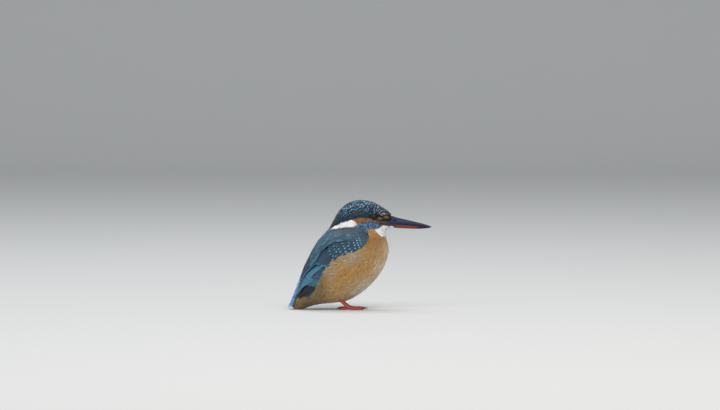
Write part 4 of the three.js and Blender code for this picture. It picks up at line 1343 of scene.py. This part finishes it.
# Small coverts and the scapulars over them lie in staggered rows: rows, columns, (along, across)
# of the first root, spacing, length in stations and half width of the first row and the last,
# heights of root and tip, and how much lower across the wing the rows by its bend lie.
SMALL_COVERTS = {
    "rows": 11,
    "columns": 8,
    "first": (-0.12, 0.08),
    "spacing": (0.285, 0.095),
    "length": (0.62, 0.95),
    "half": (1.35, 1.75),
    "heights": (1.1, 2.75),
    "sinks": 0.0,
}
SCAPULARS = {
    "rows": 14,
    "columns": 6,
    "first": (0.15, 0.62),
    "spacing": (0.25, 0.092),
    "length": (0.9, 1.9),
    "half": (1.35, 1.85),
    "heights": (1.6, 3.35),
    "sinks": 0.17,
}
# sheen, edge and scapular_edge are paler tones painted as sheen and highlight on the feathers'
# rims; scapular_edge is also the real bluish cast of some scapulars.
WING_COLOURS = palette(
    teal="#3a7590",
    dark="#09121b",
    covert="#163850",
    sheen="#4a86a0",
    edge="#5f9fb6",
    spot="#86cbe4",
    scapular="#284a5a",
    scapular_edge="#46738c",
    quill="#08090c",
    bright="#2e7fae",
)
# The bright spot of a covert: share of the length where it lies, and its half length and half
# width in millimetres.
COVERT_SPOT = {"at": 0.9, "half_length": 0.6, "half_width": 0.62}


def wing_colour(look, made, tip, rng):
    """Colours of wing feathers by share of the length and side, where side 1 is the outer web:
    teal outer webs and dark inner ones on the flight feathers, with a painted sheen along the
    secondaries' outer edges; a round bright spot before the tip of the coverts low on the wing, and
    a painted sheen on the coverts' rims; and on the scapulars paler bluish rims as painted
    highlight and bases darkened as painted shade."""
    share, side = made["share"][..., None], made["side"][..., None]
    shade = rng.normal(1, 0.07, (len(share), 1, 1)).clip(0.8, 1.25)
    rim = fade(np.abs(side), 0.55, 1.0)
    if look == "primary":
        outer = fade(side, 0.8, 0.95) * fade(share, 0.9, 0.65)
        colour = mix(WING_COLOURS["quill"], WING_COLOURS["teal"], outer * 0.35)
        lowest = fade(np.arange(len(share)), 2.5, 1.0)[:, None, None]
        blue = lowest * fade(share, 0.5, 0.8) * fade(side, -0.6, -0.2)
        colour = mix(colour, WING_COLOURS["bright"], blue * 0.6)
    elif look == "secondary":
        inner = np.linspace(0, 1, len(share))[:, None, None] ** 4
        web = mix(0.5, -0.5, inner)
        colour = mix(WING_COLOURS["dark"], WING_COLOURS["teal"], fade(side, web, web + 0.1) * 0.85)
        # Painted sheen: the outer edge is paler.
        colour = mix(colour, WING_COLOURS["edge"], fade(side, 0.72, 0.92))
    elif look == "tertial":
        colour = mix(WING_COLOURS["dark"], WING_COLOURS["covert"], fade(side, -0.6, -0.2))
        colour = mix(colour, WING_COLOURS["teal"], fade(side, 0.5, 0.8))
    elif look == "primary_covert":
        colour = mix(WING_COLOURS["covert"], WING_COLOURS["teal"], 0.7 * fade(side, 0.2, 0.6))
    elif look == "scapular":
        # Painted highlight: paler bluish rims towards the tip, and a bluish cast of its own on some
        # feathers; painted shade: bases darker where the feathers overlap.
        tipward = fade(share, 0.4, 1.0)
        colour = mix(WING_COLOURS["scapular"], WING_COLOURS["scapular_edge"], rim * tipward)
        tinge = rng.uniform(-0.5, 1.1, (len(share), 1, 1)).clip(0, 1) * fade(share, 0.5, 0.8)
        colour = mix(colour, WING_COLOURS["scapular_edge"], tinge * (1 - rim))
        colour = colour * mix(0.45, 1.0, fade(share, 0.4, 0.85))
    else:
        # Painted sheen: paler rims towards the tip.
        sheen = 0.5 * rim * fade(share, 0.5, 1.0)
        colour = mix(WING_COLOURS["covert"], WING_COLOURS["sheen"], sheen)
        along, across = tip[:, 0][:, None], tip[:, 1][:, None]
        reach, larger = (0.4, 1.15) if look == "greater" else (0.3, 1.0)
        low = mix(1.0, 0.12, fade(across, reach, reach + 0.3)) * fade(along, 0.5, 1.0)
        size = mix(0.75, 0.55, fade(across, 0.1, 0.5)) * larger
        back = (made["share"] - COVERT_SPOT["at"]) * made["length"][:, None]
        near = np.hypot(
            back / COVERT_SPOT["half_length"], made["out"] / COVERT_SPOT["half_width"]
        )
        strength = fade(near / size, 1.8, 0.8) * low
        strength = strength * rng.uniform(0.6, 1.1, (len(share), 1)).clip(0, 1)
        colour = mix(colour, WING_COLOURS["spot"], strength[..., None])
    return np.clip(colour * shade, 0, 1)


# Staggered rows: spread of the roots along and across the wing, how much lengths and half widths
# vary, and how much lower across the wing a tip lies than its root.
ROWS_STRAY, ROWS_LENGTH, ROWS_HALF = (0.025, 0.006), (0.93, 1.07), (0.94, 1.06)
TIP_LOWER = 0.035


def wing_rows(layout, rng):
    """Roots, tips, half widths and heights of staggered rows: odd rows are set half a column
    higher, lengths and widths grow from the first row to the last, and the heights grow over the
    first half of the rows and sink again towards the wing's upper edge."""
    row, column = np.mgrid[0 : layout["rows"], 0 : layout["columns"]]
    late = row / (layout["rows"] - 1)
    first, spacing = np.array(layout["first"]), np.array(layout["spacing"])
    steps = np.stack([row, column + 0.5 * (row % 2)], -1)
    root = first + steps * spacing + rng.normal(0, 1, steps.shape) * ROWS_STRAY
    root[..., 1] -= layout["sinks"] * fade(root[..., 0], 3.0, 0.5)
    length = mix(*layout["length"], late) * rng.uniform(*ROWS_LENGTH, late.shape)
    tip = root + np.stack([length, 0 * length - TIP_LOWER], -1)
    half = mix(*layout["half"], late) * rng.uniform(*ROWS_HALF, late.shape)
    low, high = layout["heights"]
    clear = ease(late * 2.2 + 0.1) * mix(1.0, 0.25, fade(root[..., 1], 0.7, 1.05))
    high = high * mix(0.25, 1, clear) - 0.35 * late + rng.normal(0, 0.05, late.shape)
    low = low * mix(0.05, 1, clear)
    return [a.reshape(-1, *a.shape[2:]) for a in (root, tip, half, low, high)]


class KINGFISHER_OT_wings(bpy.types.Operator):
    """Lay the tiers of flight feathers, coverts and scapulars of both wings"""

    bl_idname = "kingfisher.wings"
    bl_label = "Wings"

    def execute(self, context):
        firm = keratin(
            "firm_wing_feather", roughness=0.5, sheen=0.1, spacing=0.3, groove=0.22, specular=0.4
        )
        for side, mirror in SIDES:
            rng = np.random.default_rng(context.scene.kingfisher_coat.seed + 20 + mirror)
            layers = []
            for look, count, form, half, heights, roots, tips in WING_TIERS:
                t = np.linspace(0, 1, count)[:, None]
                root, tip = (mix(np.array(first), last, t) for first, last in (roots, tips))
                tip = tip + rng.normal(0, 1, tip.shape) * WING_STRAY
                flat = np.ones(count)
                high = heights[1] - UNDER_BACK_DROP * fade(tip[:, 1], *UNDER_BACK)
                layers.append((look, form, root, tip, flat * half, flat * heights[0], high))
            layers.append(("covert", COVERT_FORM, *wing_rows(SMALL_COVERTS, rng)))
            layers.append(("scapular", COVERT_FORM, *wing_rows(SCAPULARS, rng)))
            sets = []
            for look, form, root, tip, half, low, high in layers:
                tilt = WING_LEAN.get(look, OTHER_LEAN) + rng.normal(0, 0.02, len(root))
                made = vanes(wing, root, tip, half, low, high, tilt, form, rng)
                made["colour"] = wing_colour(look, made, tip, rng)
                made["unwrap"] = np.stack([root[:, 0] / 8, root[:, 1]], -1).clip(0, 1)
                sets.append(made)
            name, replaced = f"wing_feathers_{side}", (f"wing_{side}",)
            feather_piece(name, sets, firm, replaced, mirror)
        return {"FINISHED"}


# Flank feathers that rise over the wing's lower edge, from the belly upwards: across of root and
# tip, height of root and tip, half width, and stations from one feather to the next.
FLANK_ROWS = [
    (-0.5, -0.34, -0.6, 0.3, 1.25, 0.1),
    (-0.4, -0.24, -0.5, 0.6, 1.25, 0.1),
    (-0.3, -0.15, -0.3, 1.0, 1.2, 0.1),
    (-0.21, -0.08, 0.0, 1.5, 1.1, 0.09),
    (-0.14, -0.01, 0.3, 2.0, 1.0, 0.08),
    (-0.09, 0.045, 0.6, 2.3, 0.42, 0.03),
]
FLANK_SPAN = (0.5, 6.0)
FLANK_COLOUR_TOP = -0.12  # across: flank feathers take the colours of the body below this
# Spread of the roots' and the tips' place across, of the height in millimetres, of the tilt and of
# the tone, the lengths in stations, and where the pale spots lie, as in coat.
FLANK_STRAY = dict(root=0.014, tip=0.026, height=0.07, tilt=0.05, tone=0.04)
FLANK_LENGTH = (0.6, 0.95)
FLANK_SPOTS = (0.6, 0.8, 1.0, 0.5)


class KINGFISHER_OT_flanks(bpy.types.Operator):
    """Lay the loose flank feathers over the lower edges of the wings"""

    bl_idname = "kingfisher.flanks"
    bl_label = "Flank feathers"

    def execute(self, context):
        loose = keratin("loose_flank_feather", **LOOSE_KERATIN)
        for side, mirror in SIDES:
            rng = np.random.default_rng(context.scene.kingfisher_coat.seed + 60 + mirror)
            sets = []
            for below, above, low, high, half, gap in FLANK_ROWS:
                along = np.arange(*FLANK_SPAN, gap)
                along = along + rng.uniform(-0.5, 0.5, len(along)) * gap
                flat = np.ones(len(along))
                across = below + rng.normal(0, FLANK_STRAY["root"], len(along))
                root = np.stack([along, across], -1)
                length = rng.uniform(*FLANK_LENGTH, len(along))
                across = above + rng.normal(0, FLANK_STRAY["tip"], len(along))
                tip = np.stack([along + length, across], -1)
                early = mix(0.35, 1.0, fade(along, 0.4, 2.0))
                late = mix(1.0, 0.8, fade(along, 3.6, 5.6))
                top = high * early * late + rng.normal(0, FLANK_STRAY["height"], len(along))
                tilt = rng.normal(0, FLANK_STRAY["tilt"], len(along))
                low, half = flat * low, flat * half
                made = vanes(wing, root, tip, half, low, top, tilt, BODY_FORM, rng)
                place = wing(tip[:, 0], flat * min(above, FLANK_COLOUR_TOP))[0][:, None]
                tone = rng.normal(1, FLANK_STRAY["tone"], len(along))
                made["colour"] = coat_colour(made, place, tone, BODY_SOFT, FLANK_SPOTS, rng)
                made["unwrap"] = np.stack([root[:, 0] / 8, (root[:, 1] + 0.6) / 1.2], -1)
                sets.append(made)
            name = f"flank_feathers_{side}"
            feather_piece(name, sets, loose, ("torso",), mirror)
        return {"FINISHED"}


# Rows of tail feathers, the lowest first: count, form, half width, spread between the outermost
# shafts at the root and at the tip, share of the tail at the root and tip, height of each end, and
# how much lower the outermost feathers lie than the middle ones.
TAIL_ROWS = [
    ("rectrices", 12, FLIGHT_FORM, 1.5, (3.4, 11.0), (0.0, 1.08), (-1.0, 0.9), 1.9),
    ("coverts", 8, COVERT_FORM, 1.6, (5.0, 8.6), (0.1, 0.74), (-0.8, 1.2), 1.5),
    ("coverts", 8, COVERT_FORM, 1.6, (5.6, 7.6), (0.0, 0.58), (-1.2, 1.3), 1.5),
    ("coverts", 7, COVERT_FORM, 1.6, (5.8, 6.6), (-0.12, 0.42), (-1.8, 1.2), 1.5),
    ("coverts", 7, COVERT_FORM, 1.6, (6.0, 6.4), (-0.22, 0.26), (-2.4, 0.8), 1.5),
]
TAIL_COLOURS = palette(vane="#78b4e8", dark="#1f3552", covert="#78bcec", root="#2c6a98")
OUTER_SHORTER = 0.07  # share of the tail by which its outermost feathers are shorter
TAIL_TILT = -0.2  # tilt of the outermost feathers in millimetres, mirrored from side to side


class KINGFISHER_OT_tail(bpy.types.Operator):
    """Lay the tail feathers and the bright coverts over them"""

    bl_idname = "kingfisher.tail"
    bl_label = "Tail"

    def execute(self, context):
        rng = np.random.default_rng(context.scene.kingfisher_coat.seed + 40)
        sets = []
        for kind, count, form, half, spread, run, heights, stack in TAIL_ROWS:
            place = np.linspace(-1, 1, count)
            out = np.abs(place)
            root = np.stack([run[0] + 0 * out, place * spread[0] / 2], -1)
            tip = np.stack([run[1] - OUTER_SHORTER * out**2, place * spread[1] / 2], -1)
            low, high = (height - stack * out for height in heights)
            half = np.full(count, half)
            made = vanes(tail, root, tip, half, low, high, TAIL_TILT * place, form, rng)
            share, side = made["share"][..., None], made["side"][..., None]
            if kind == "rectrices":
                shaft = fade(np.abs(side), 0.18, 0.08)
                # Partly painted shade: the outermost feathers are darker, partly their own duskier
                # blue and partly the shadow where the wing's tip lies by the tail.
                edge = fade(out, 0.75, 1.0)[:, None, None] * 0.7
                colour = mix(TAIL_COLOURS["vane"], TAIL_COLOURS["dark"], np.maximum(shaft, edge))
            else:
                colour = mix(TAIL_COLOURS["root"], TAIL_COLOURS["covert"], fade(share, 0.3, 0.7))
            shade = rng.normal(1, 0.06, (count, 1, 1))
            made["colour"] = np.clip(colour * shade, 0, 1)
            made["unwrap"] = np.stack([(root[:, 1] + 6) / 12, (root[:, 0] + 0.3) / 1.3], -1)
            sets.append(made)
        firm = keratin(
            "firm_tail_feather", roughness=0.45, sheen=0.1, spacing=0.26, groove=0.25, specular=0.5
        )
        feather_piece("tail_feathers", sets, firm, ("tail",))
        return {"FINISHED"}


# The nostril slit and the fold over it, pressed into and raised on the upper mandible's sides:
# x, z, reach along, reach up, distance in reaches where it starts, and share of the half width.
NOSTRILS = [(31.4, 80.3, 1.9, 0.5, 1.5, -0.28), (31.2, 81.1, 2.6, 0.55, 1.4, 0.07)]
NOSTRIL_SLOPE = 0.12
MOUTH_GAP = 0.06  # millimetres between the mandibles
LOWER_SHORTER = 0.18  # rows of BILL by which the lower mandible is shorter
MOUTH = {"wide": 0.94, "deep": 0.35}  # share of the half width, and millimetres


def bill_rings(side, rows, columns):
    """Rings of one mandible, side 1 upper and -1 lower. Round the outside, z rises from the mouth
    line to the ridge as sin**BILL_RISE and y goes as cos**BILL_OUT. The last quarter of a ring is
    the inside of the mouth, a shallow channel."""
    t = np.linspace(0, len(BILL) - 1 - (0 if side > 0 else LOWER_SHORTER), rows)
    x, culmen, mouth, gonys, half = curve(BILL, t).T[:, :, None]
    mouth = mouth + side * MOUTH_GAP / 2
    outside = columns * 3 // 4
    turn = np.linspace(0, math.pi, outside)[None]
    z = mix(mouth, culmen if side > 0 else gonys, np.sin(turn) ** BILL_RISE)
    y = half * (np.sign(np.cos(turn)) * np.abs(np.cos(turn)) ** BILL_OUT)
    if side > 0:
        for nostril_x, nostril_z, along, up, start, swell in NOSTRILS:
            ahead = x - nostril_x
            reach = np.hypot(ahead / along, (z - nostril_z + NOSTRIL_SLOPE * ahead) / up)
            y = y * (1 + swell * fade(reach, start, start - 1))
    edge = np.linspace(-MOUTH["wide"], MOUTH["wide"], columns - outside)[None]
    channel = mouth + side * MOUTH["deep"] * (1 - edge**2) * np.minimum(half / 3, 1)
    y = np.concatenate([y, half * edge], 1)
    z = np.concatenate([z, channel], 1)
    return np.stack([np.broadcast_to(x, y.shape), y, z], -1)


# Colours along the bill and the claws, as x in millimetres and sRGB hex.
# The upper bill is black; the blue in its colours is painted reflection of the sky.
UPPER_BILL = [(16, "#3c3640"), (26, "#2a2a40"), (34, "#131e3c"), (56, "#11182f"), (65, "#232126")]
LOWER_BILL = [
    (16, "#5d4450"), (29, "#47384a"), (34, "#7d4030"), (46, "#87472f"), (54, "#402322"),
    (60, "#131013"),
]
CLAWS = [(-30, "#17120f"), (0, "#1b1512"), (10, "#2a211c")]


class KINGFISHER_OT_bill(bpy.types.Operator):
    """Make the two mandibles"""

    bl_idname = "kingfisher.bill"
    bl_label = "Bill"

    def execute(self, context):
        rows, columns = 220, 64
        tip = [0.25, 0, 0]
        # Its blue streak colour is painted sky reflection as well.
        upper = horn("bill_horn_black", UPPER_BILL, 0.42, "#29385f", streaks=0.6, specular=0.2)
        lower = horn("bill_horn_orange", LOWER_BILL, 0.42, "#2a1c22", streaks=0.4, specular=0.2)
        for name, side, finish, slot in (
            ("bill_upper", 1, upper, "bill_dark"),
            ("bill_lower", -1, lower, "bill_below"),
        ):
            points = capped(bill_rings(side, rows, columns), tip)
            faces = [f[:, ::-side] for f in tube_faces(rows, columns)]
            make_piece(f"{name}_horn", points, faces, finish, (name,))
        return {"FINISHED"}


EYE_SLOPE_REACH = 4.0  # millimetres over which the head's side is read for the eye's direction


def eye_frame():
    """Centre of the right eyeball and the axes ahead, up and out of its socket: out is the mean
    slope of the head's side over EYE_SLOPE_REACH each way."""
    reach = EYE_SLOPE_REACH
    x = EYE["x"] + reach * np.array([1, -1, 0, 0, 0])
    z = EYE["z"] + reach * np.array([0, 0, 1, -1, 0])
    half = np.abs(body(*side_chart(x, z))[0][:, 1])
    slope_x, slope_z = (half[0] - half[1]) / (2 * reach), (half[2] - half[3]) / (2 * reach)
    out = unit(np.array([-slope_x, -1.0, -slope_z]))
    ahead = unit(np.cross([0, 0, 1], out))
    up = np.cross(out, ahead)
    centre = np.array([EYE["x"], -half[4], EYE["z"]]) + out * (EYE["stands_out"] - EYE["radius"])
    return centre, ahead, up, out


# Angles from the middle of the cornea, in radians: where the pupil ends and the iris is full,
# where the iris starts to darken and is full dark, and the lids' opening, round and at its corners.
PUPIL_EDGE = (0.42, 0.5)
IRIS_EDGE = (0.95, 1.15)
LIDS_OPEN = (0.98, 1.16)
UPPER_LID_LOWER = 0.07
PUPIL, IRIS_RIM = 0.002, 0.2  # the pupil's grey, and the iris's rim as a share of its colour
CORNEA = {"stands_out": 0.16, "reach": 0.55}  # millimetres and radians
# Lids in millimetres: clear of the eyeball sideways and outwards, how much deeper the outer edge
# lies, how far the rim stands up, depth of the folds, and how much wider the corners are. The
# backs of the lids are the same shape at a share of its size.
LIDS = dict(clear=(0.05, 0.1), sinks=0.75, rim=0.32, folds=0.03, corner=1.35, back=0.86)


class KINGFISHER_OT_eyes(bpy.types.Operator):
    """Make the eyeballs and the lids round them"""

    bl_idname = "kingfisher.eyes"
    bl_label = "Eyes"

    def execute(self, context):
        face = context.scene.kingfisher_face
        centre, ahead, up, out = eye_frame()
        radius, iris = EYE["radius"], np.array(face.iris)
        cornea = eye_material()
        lid_skin = scaly_skin("eyelid_skin", "#2a2527", "#121013", 2.6, roughness=0.55)
        rows, columns = 64, 72
        turn = (np.arange(columns) / columns * TAU)[None]

        def rings_about(spread, height):
            """Rings at centre + spread * (ahead * cos + up * sin) + height * out."""
            return centre + (
                (spread * np.cos(turn))[..., None] * ahead
                + (spread * np.sin(turn))[..., None] * up
                + (height + 0 * turn)[..., None] * out
            )

        # Eyeball: spread is radius * sin(fall) and height is radius * cos(fall), with the cornea
        # standing out a little more over the pupil.
        fall = (np.linspace(0.01, math.pi - 0.01, rows))[:, None]
        bulge = radius + CORNEA["stands_out"] * np.exp(-((fall / CORNEA["reach"]) ** 2))
        rings = rings_about(np.sin(fall) * bulge, np.cos(fall) * bulge)
        poles = [centre + out * bulge[0], centre - out * radius]
        ball = np.concatenate([rings.reshape(-1, 3), poles])
        pupil, rim = np.full(3, PUPIL), iris * IRIS_RIM
        tint = mix(mix(pupil, iris, fade(fall, *PUPIL_EDGE)), rim, fade(fall, *IRIS_EDGE))
        tint = np.concatenate([np.repeat(tint, columns, axis=0), [pupil, rim]])

        # Lids: from the rim on the eyeball out to the face, round a nearly round opening with a
        # small corner at each end, and rounded over between.
        q = np.linspace(0, 1, 9)[:, None]
        corner = np.abs(np.cos(turn)) ** 6
        open_angle = mix(*LIDS_OPEN, corner) - UPPER_LID_LOWER * np.maximum(np.sin(turn), 0)
        inner_r = np.sin(open_angle) * (radius + LIDS["clear"][0])
        inner_out = np.cos(open_angle) * (radius + LIDS["clear"][1])
        outer_r = np.sin(open_angle) * radius + mix(1.0, LIDS["corner"], corner) * face.lid / MM
        rise = mix(inner_out, inner_out - LIDS["sinks"], q)
        rise = rise + LIDS["rim"] * np.sin(math.pi * q**0.7)
        folds = LIDS["folds"] * np.sin(q * 22) * np.sin(turn * 3) ** 2
        lid = rings_about(mix(inner_r, outer_r, q), rise + folds)
        back = centre + (lid - centre) * LIDS["back"]
        lid = np.concatenate([lid, back[::-1]])
        ring = np.arange(len(lid) * columns).reshape(len(lid), columns)
        after, below = np.roll(ring, -1, axis=1), np.roll(ring, -1, axis=0)
        both = np.roll(after, -1, axis=0)
        lid_faces = [np.stack([ring, after, both, below], -1).reshape(-1, 4)]
        for side, mirror in SIDES:
            points, faces = on_side(ball, tube_faces(rows, columns), mirror)
            make_piece(f"eyeball_{side}", points, faces, cornea, (f"eye_{side}",), tint)
            points, faces = on_side(lid.reshape(-1, 3), lid_faces, mirror)
            make_piece(f"eyelids_{side}", points, faces, lid_skin)
        return {"FINISHED"}


TOE_REST = 0.82  # height of a toe's middle as a share of its radius
# Rounded ends of legs and toes: share of the length where one starts, over what share, and how
# much of the radius squared is left at its end.
LEG_END, TOE_END = (1.0, 0.1, 0.1), (0.93, 0.075, 0.05)
# Scutes across the top of the leg and toes: height in millimetres, and how many to the leg and to
# the millimetre of toe.
LEG_SCUTES, TOE_SCUTES = (0.07, 9), (0.06, 1.35)
# Claws: how far they start inside the toe, radii at base and tip, and how they arch and sink.
CLAW = {"inside": 0.35, "radii": (0.62, 0.1), "base": 0.8, "arch": 0.62, "turn": 0.78, "sinks": 0.5}


def toe_place(heading, run):
    """Where a toe of the right foot is at distances from the foot's joint."""
    turn = math.radians(heading)
    settled = np.clip(run / TOE_SETTLES, 0, 1)
    x = LEG["joint"][0] + run * math.cos(turn)
    y = -LEG["out"] + run * math.sin(turn)
    return np.stack([x, y, mix(LEG["joint"][1], TOE_RADIUS * TOE_REST, settled)], -1)


def rounded_end(t, end):
    """1, and past the end's start sqrt(1 - share**2), down to the root of what is left."""
    start, over, left = end
    return np.sqrt(np.clip(1 - ((t - start) / over).clip(0, 1) ** 2, left, 1))


def scutes(count, height, top):
    """Low ridges across the top of a limb: height * |sin|**0.6 * top."""
    return height * np.abs(np.sin(count * math.pi))[:, None] ** 0.6 * top


def limb(path, radius, columns, ridge=0.0):
    """Rings round a path: at + (radius + ridge) * (across * cos + up * sin), where across is
    level."""
    heading = unit(np.gradient(path, axis=0))
    across = unit(np.cross([0, 0, 1], heading))
    up = np.cross(heading, across)
    turn = (np.arange(columns) / columns * TAU)[None, :, None]
    radius = (np.broadcast_to(radius[:, None], (len(path), columns)) + ridge)[..., None]
    return path[:, None] + radius * (across[:, None] * np.cos(turn) + up[:, None] * np.sin(turn))


class KINGFISHER_OT_feet(bpy.types.Operator):
    """Make the legs, toes and claws"""

    bl_idname = "kingfisher.feet"
    bl_label = "Feet"

    def execute(self, context):
        coral = scaly_skin("scaled_leg_skin", "#b5473d", "#8a342c", 2.5, roughness=0.5)
        claw_horn = horn("claw_horn", CLAWS, 0.35, "#3a2f28", streaks=0.4)
        columns = 20
        turn = (np.arange(columns) / columns * TAU)[None]
        top = fade(np.sin(turn), 0.0, 2 / 3)
        sole = -0.12 * ease(-np.sin(turn) * 1.6 - 0.4)

        heel, joint = (
            np.array([LEG[name][0], -LEG["out"], LEG[name][1]]) for name in ("heel", "joint")
        )
        t = np.linspace(-0.25, 1.08, 72)
        radius = LEG["radius"] * (0.86 + 0.12 * np.abs(2 * t.clip(0, 1) - 1) ** 1.5)
        ridges = scutes(t * LEG_SCUTES[1], LEG_SCUTES[0], top)
        path = heel + (joint - heel) * t[:, None]
        limbs = [limb(path, radius * rounded_end(t, LEG_END), columns, ridges)]
        for heading, length, pads, _ in TOES.values():
            t = np.linspace(0, 1, 24 * pads)
            radius = TOE_RADIUS * (mix(1.0, 0.78, t) - 0.09 * np.cos(TAU * pads * t))
            ridges = scutes(t * length * TOE_SCUTES[1], TOE_SCUTES[0], top) + sole
            path = toe_place(heading, t * length)
            limbs.append(limb(path, radius * rounded_end(t, TOE_END), columns, ridges))
        foot, foot_faces = np.concatenate([capped(rings) for rings in limbs]), []
        start = 0
        for rings in limbs:
            foot_faces += [f + start for f in tube_faces(*rings.shape[:2])]
            start += len(capped(rings))

        claws = []
        t = np.linspace(0, 1, 30)
        for name, (heading, length, _, claw) in TOES.items():
            path = toe_place(heading, length - CLAW["inside"] + t * (claw + CLAW["inside"]))
            arch = CLAW["arch"] * np.sin(t * math.pi * CLAW["turn"]) - CLAW["sinks"] * t
            path[:, 2] = TOE_RADIUS * CLAW["base"] + arch
            rings = limb(path, mix(*CLAW["radii"], t**0.8), 14)
            claws.append((name, capped(rings), tube_faces(*rings.shape[:2])))

        for side, mirror in SIDES:
            points, faces = on_side(foot, foot_faces, mirror)
            make_piece(f"foot_{side}", points, faces, coral, (f"leg_{side}",))
            for name, claw_points, claw_faces in claws:
                points, faces = on_side(claw_points, claw_faces, mirror)
                claw = f"claw_{side}_{name}"
                make_piece(f"{claw}_horn", points, faces, claw_horn, (claw,))
        return {"FINISHED"}


# Paper sweep in metres: where its floor starts and ends, the bend's radius, the wall's height and
# half the width.
SWEEP = {"front": -6.0, "back": 2.6, "bend": 0.9, "wall": 3.0, "half": 5.0}
# Soft round lights that face the bird: name, place and size in metres, power in watts, colour.
LIGHTS = [
    ("key", (0.5, -1.3, 1.9), 1.4, 34.0, "#fff8ef"),
    ("fill", (-1.6, -1.4, 0.9), 1.8, 13.0, "#eef4ff"),
    ("top", (-0.2, 0.5, 2.0), 1.6, 22.0, "#f6f9ff"),
]
LIGHTS_FACE = (0, 0, 0.05)
STUDIO_AIR, STUDIO_GLOW = "#e4e8ec", 0.55
SENSOR = 36.0


class KINGFISHER_OT_stage(bpy.types.Operator):
    """Set up the paper sweep, the soft lights and the camera"""

    bl_idname = "kingfisher.stage"
    bl_label = "Stage"

    def execute(self, context):
        scene = context.scene
        stage = scene.kingfisher_stage
        self.paper_sweep(scene)

        for name, place, size, power, colour in LIGHTS:
            light = bpy.data.lights.new(name, "AREA")
            light.shape, light.size, light.energy = "DISK", size, power
            light.color = tuple(linear(colour))
            lamp = bpy.data.objects.new(name, light)
            lamp.location = place
            aim = np.array(LIGHTS_FACE) - place
            turn = math.atan2(aim[1], aim[0]) - math.pi / 2
            lamp.rotation_euler = (math.atan2(math.hypot(aim[0], aim[1]), -aim[2]), 0, turn)
            scene.collection.objects.link(lamp)

        world = bpy.data.worlds.new("studio")
        world.use_nodes = True
        glow = world.node_tree.nodes["Background"]
        glow.inputs["Color"].default_value = (*linear(STUDIO_AIR), 1)
        glow.inputs["Strength"].default_value = STUDIO_GLOW
        scene.world = world
        scene.view_settings.view_transform = "Standard"

        camera = bpy.data.cameras.new("camera")
        camera.lens, camera.sensor_width = stage.focal_length, SENSOR
        camera.clip_end = 50.0
        away = stage.view_width * stage.focal_length / SENSOR
        rise = stage.aim_height + away * math.sin(stage.elevation)
        eye = bpy.data.objects.new("camera", camera)
        eye.location = (0.0, -away * math.cos(stage.elevation), rise)
        eye.rotation_euler = (math.pi / 2 - stage.elevation, 0, 0)
        scene.collection.objects.link(eye)
        scene.camera = eye
        return {"FINISHED"}

    def paper_sweep(self, scene):
        """A level floor, a quarter circle and an upright wall, carried along X."""
        bend, back = SWEEP["bend"], SWEEP["back"]
        arc = np.linspace(0, math.pi / 2, 24)
        y = np.concatenate([[SWEEP["front"]], back + bend * np.sin(arc), [back + bend]])
        z = np.concatenate([[0.0], bend * (1 - np.cos(arc)), [bend + SWEEP["wall"]]])
        x = np.linspace(-SWEEP["half"], SWEEP["half"], 9)
        points = np.stack([np.tile(x, len(y)), np.repeat(y, len(x)), np.repeat(z, len(x))], -1)
        grid = np.arange(len(points)).reshape(len(y), len(x))
        faces = np.stack([grid[:-1, :-1], grid[:-1, 1:], grid[1:, 1:], grid[1:, :-1]], -1)
        mesh = bpy.data.meshes.new("sweep")
        mesh.from_pydata(points.tolist(), [], faces.reshape(-1, 4).tolist())
        mesh.shade_smooth()
        mesh.materials.append(paper("background_paper", "#c4c5c4"))
        sweep = bpy.data.objects.new("sweep", mesh)
        scene.collection.objects.link(sweep)


# ---- Panel and registration ----------------------------------------------------------------

STEPS = (
    KINGFISHER_OT_stage,
    KINGFISHER_OT_skin,
    KINGFISHER_OT_head_coat,
    KINGFISHER_OT_body_coat,
    KINGFISHER_OT_wings,
    KINGFISHER_OT_flanks,
    KINGFISHER_OT_tail,
    KINGFISHER_OT_bill,
    KINGFISHER_OT_eyes,
    KINGFISHER_OT_feet,
)


class KINGFISHER_PT_panel(bpy.types.Panel):
    """Lists the pieces of the kingfisher"""

    bl_idname = "KINGFISHER_PT_panel"
    bl_label = "Kingfisher"
    bl_space_type = "VIEW_3D"
    bl_region_type = "UI"
    bl_category = "Kingfisher"

    def draw(self, context):
        for settings in ("kingfisher_coat", "kingfisher_face", "kingfisher_stage"):
            group = getattr(context.scene, settings)
            for key in group.__annotations__:
                self.layout.prop(group, key)
        for step in STEPS:
            self.layout.operator(step.bl_idname)


GROUPS = {
    "kingfisher_coat": CoatSettings,
    "kingfisher_face": FaceSettings,
    "kingfisher_stage": StageSettings,
}


def register():
    for made in (*GROUPS.values(), *STEPS, KINGFISHER_PT_panel):
        bpy.utils.register_class(made)
    for name, group in GROUPS.items():
        setattr(bpy.types.Scene, name, bpy.props.PointerProperty(type=group))


def unregister():
    for name in GROUPS:
        delattr(bpy.types.Scene, name)
    for made in reversed((*GROUPS.values(), *STEPS, KINGFISHER_PT_panel)):
        bpy.utils.unregister_class(made)


def main():
    register()
    for step in STEPS:
        group, name = step.bl_idname.split(".")
        getattr(getattr(bpy.ops, group), name)()


if __name__ == "__main__":
    main()
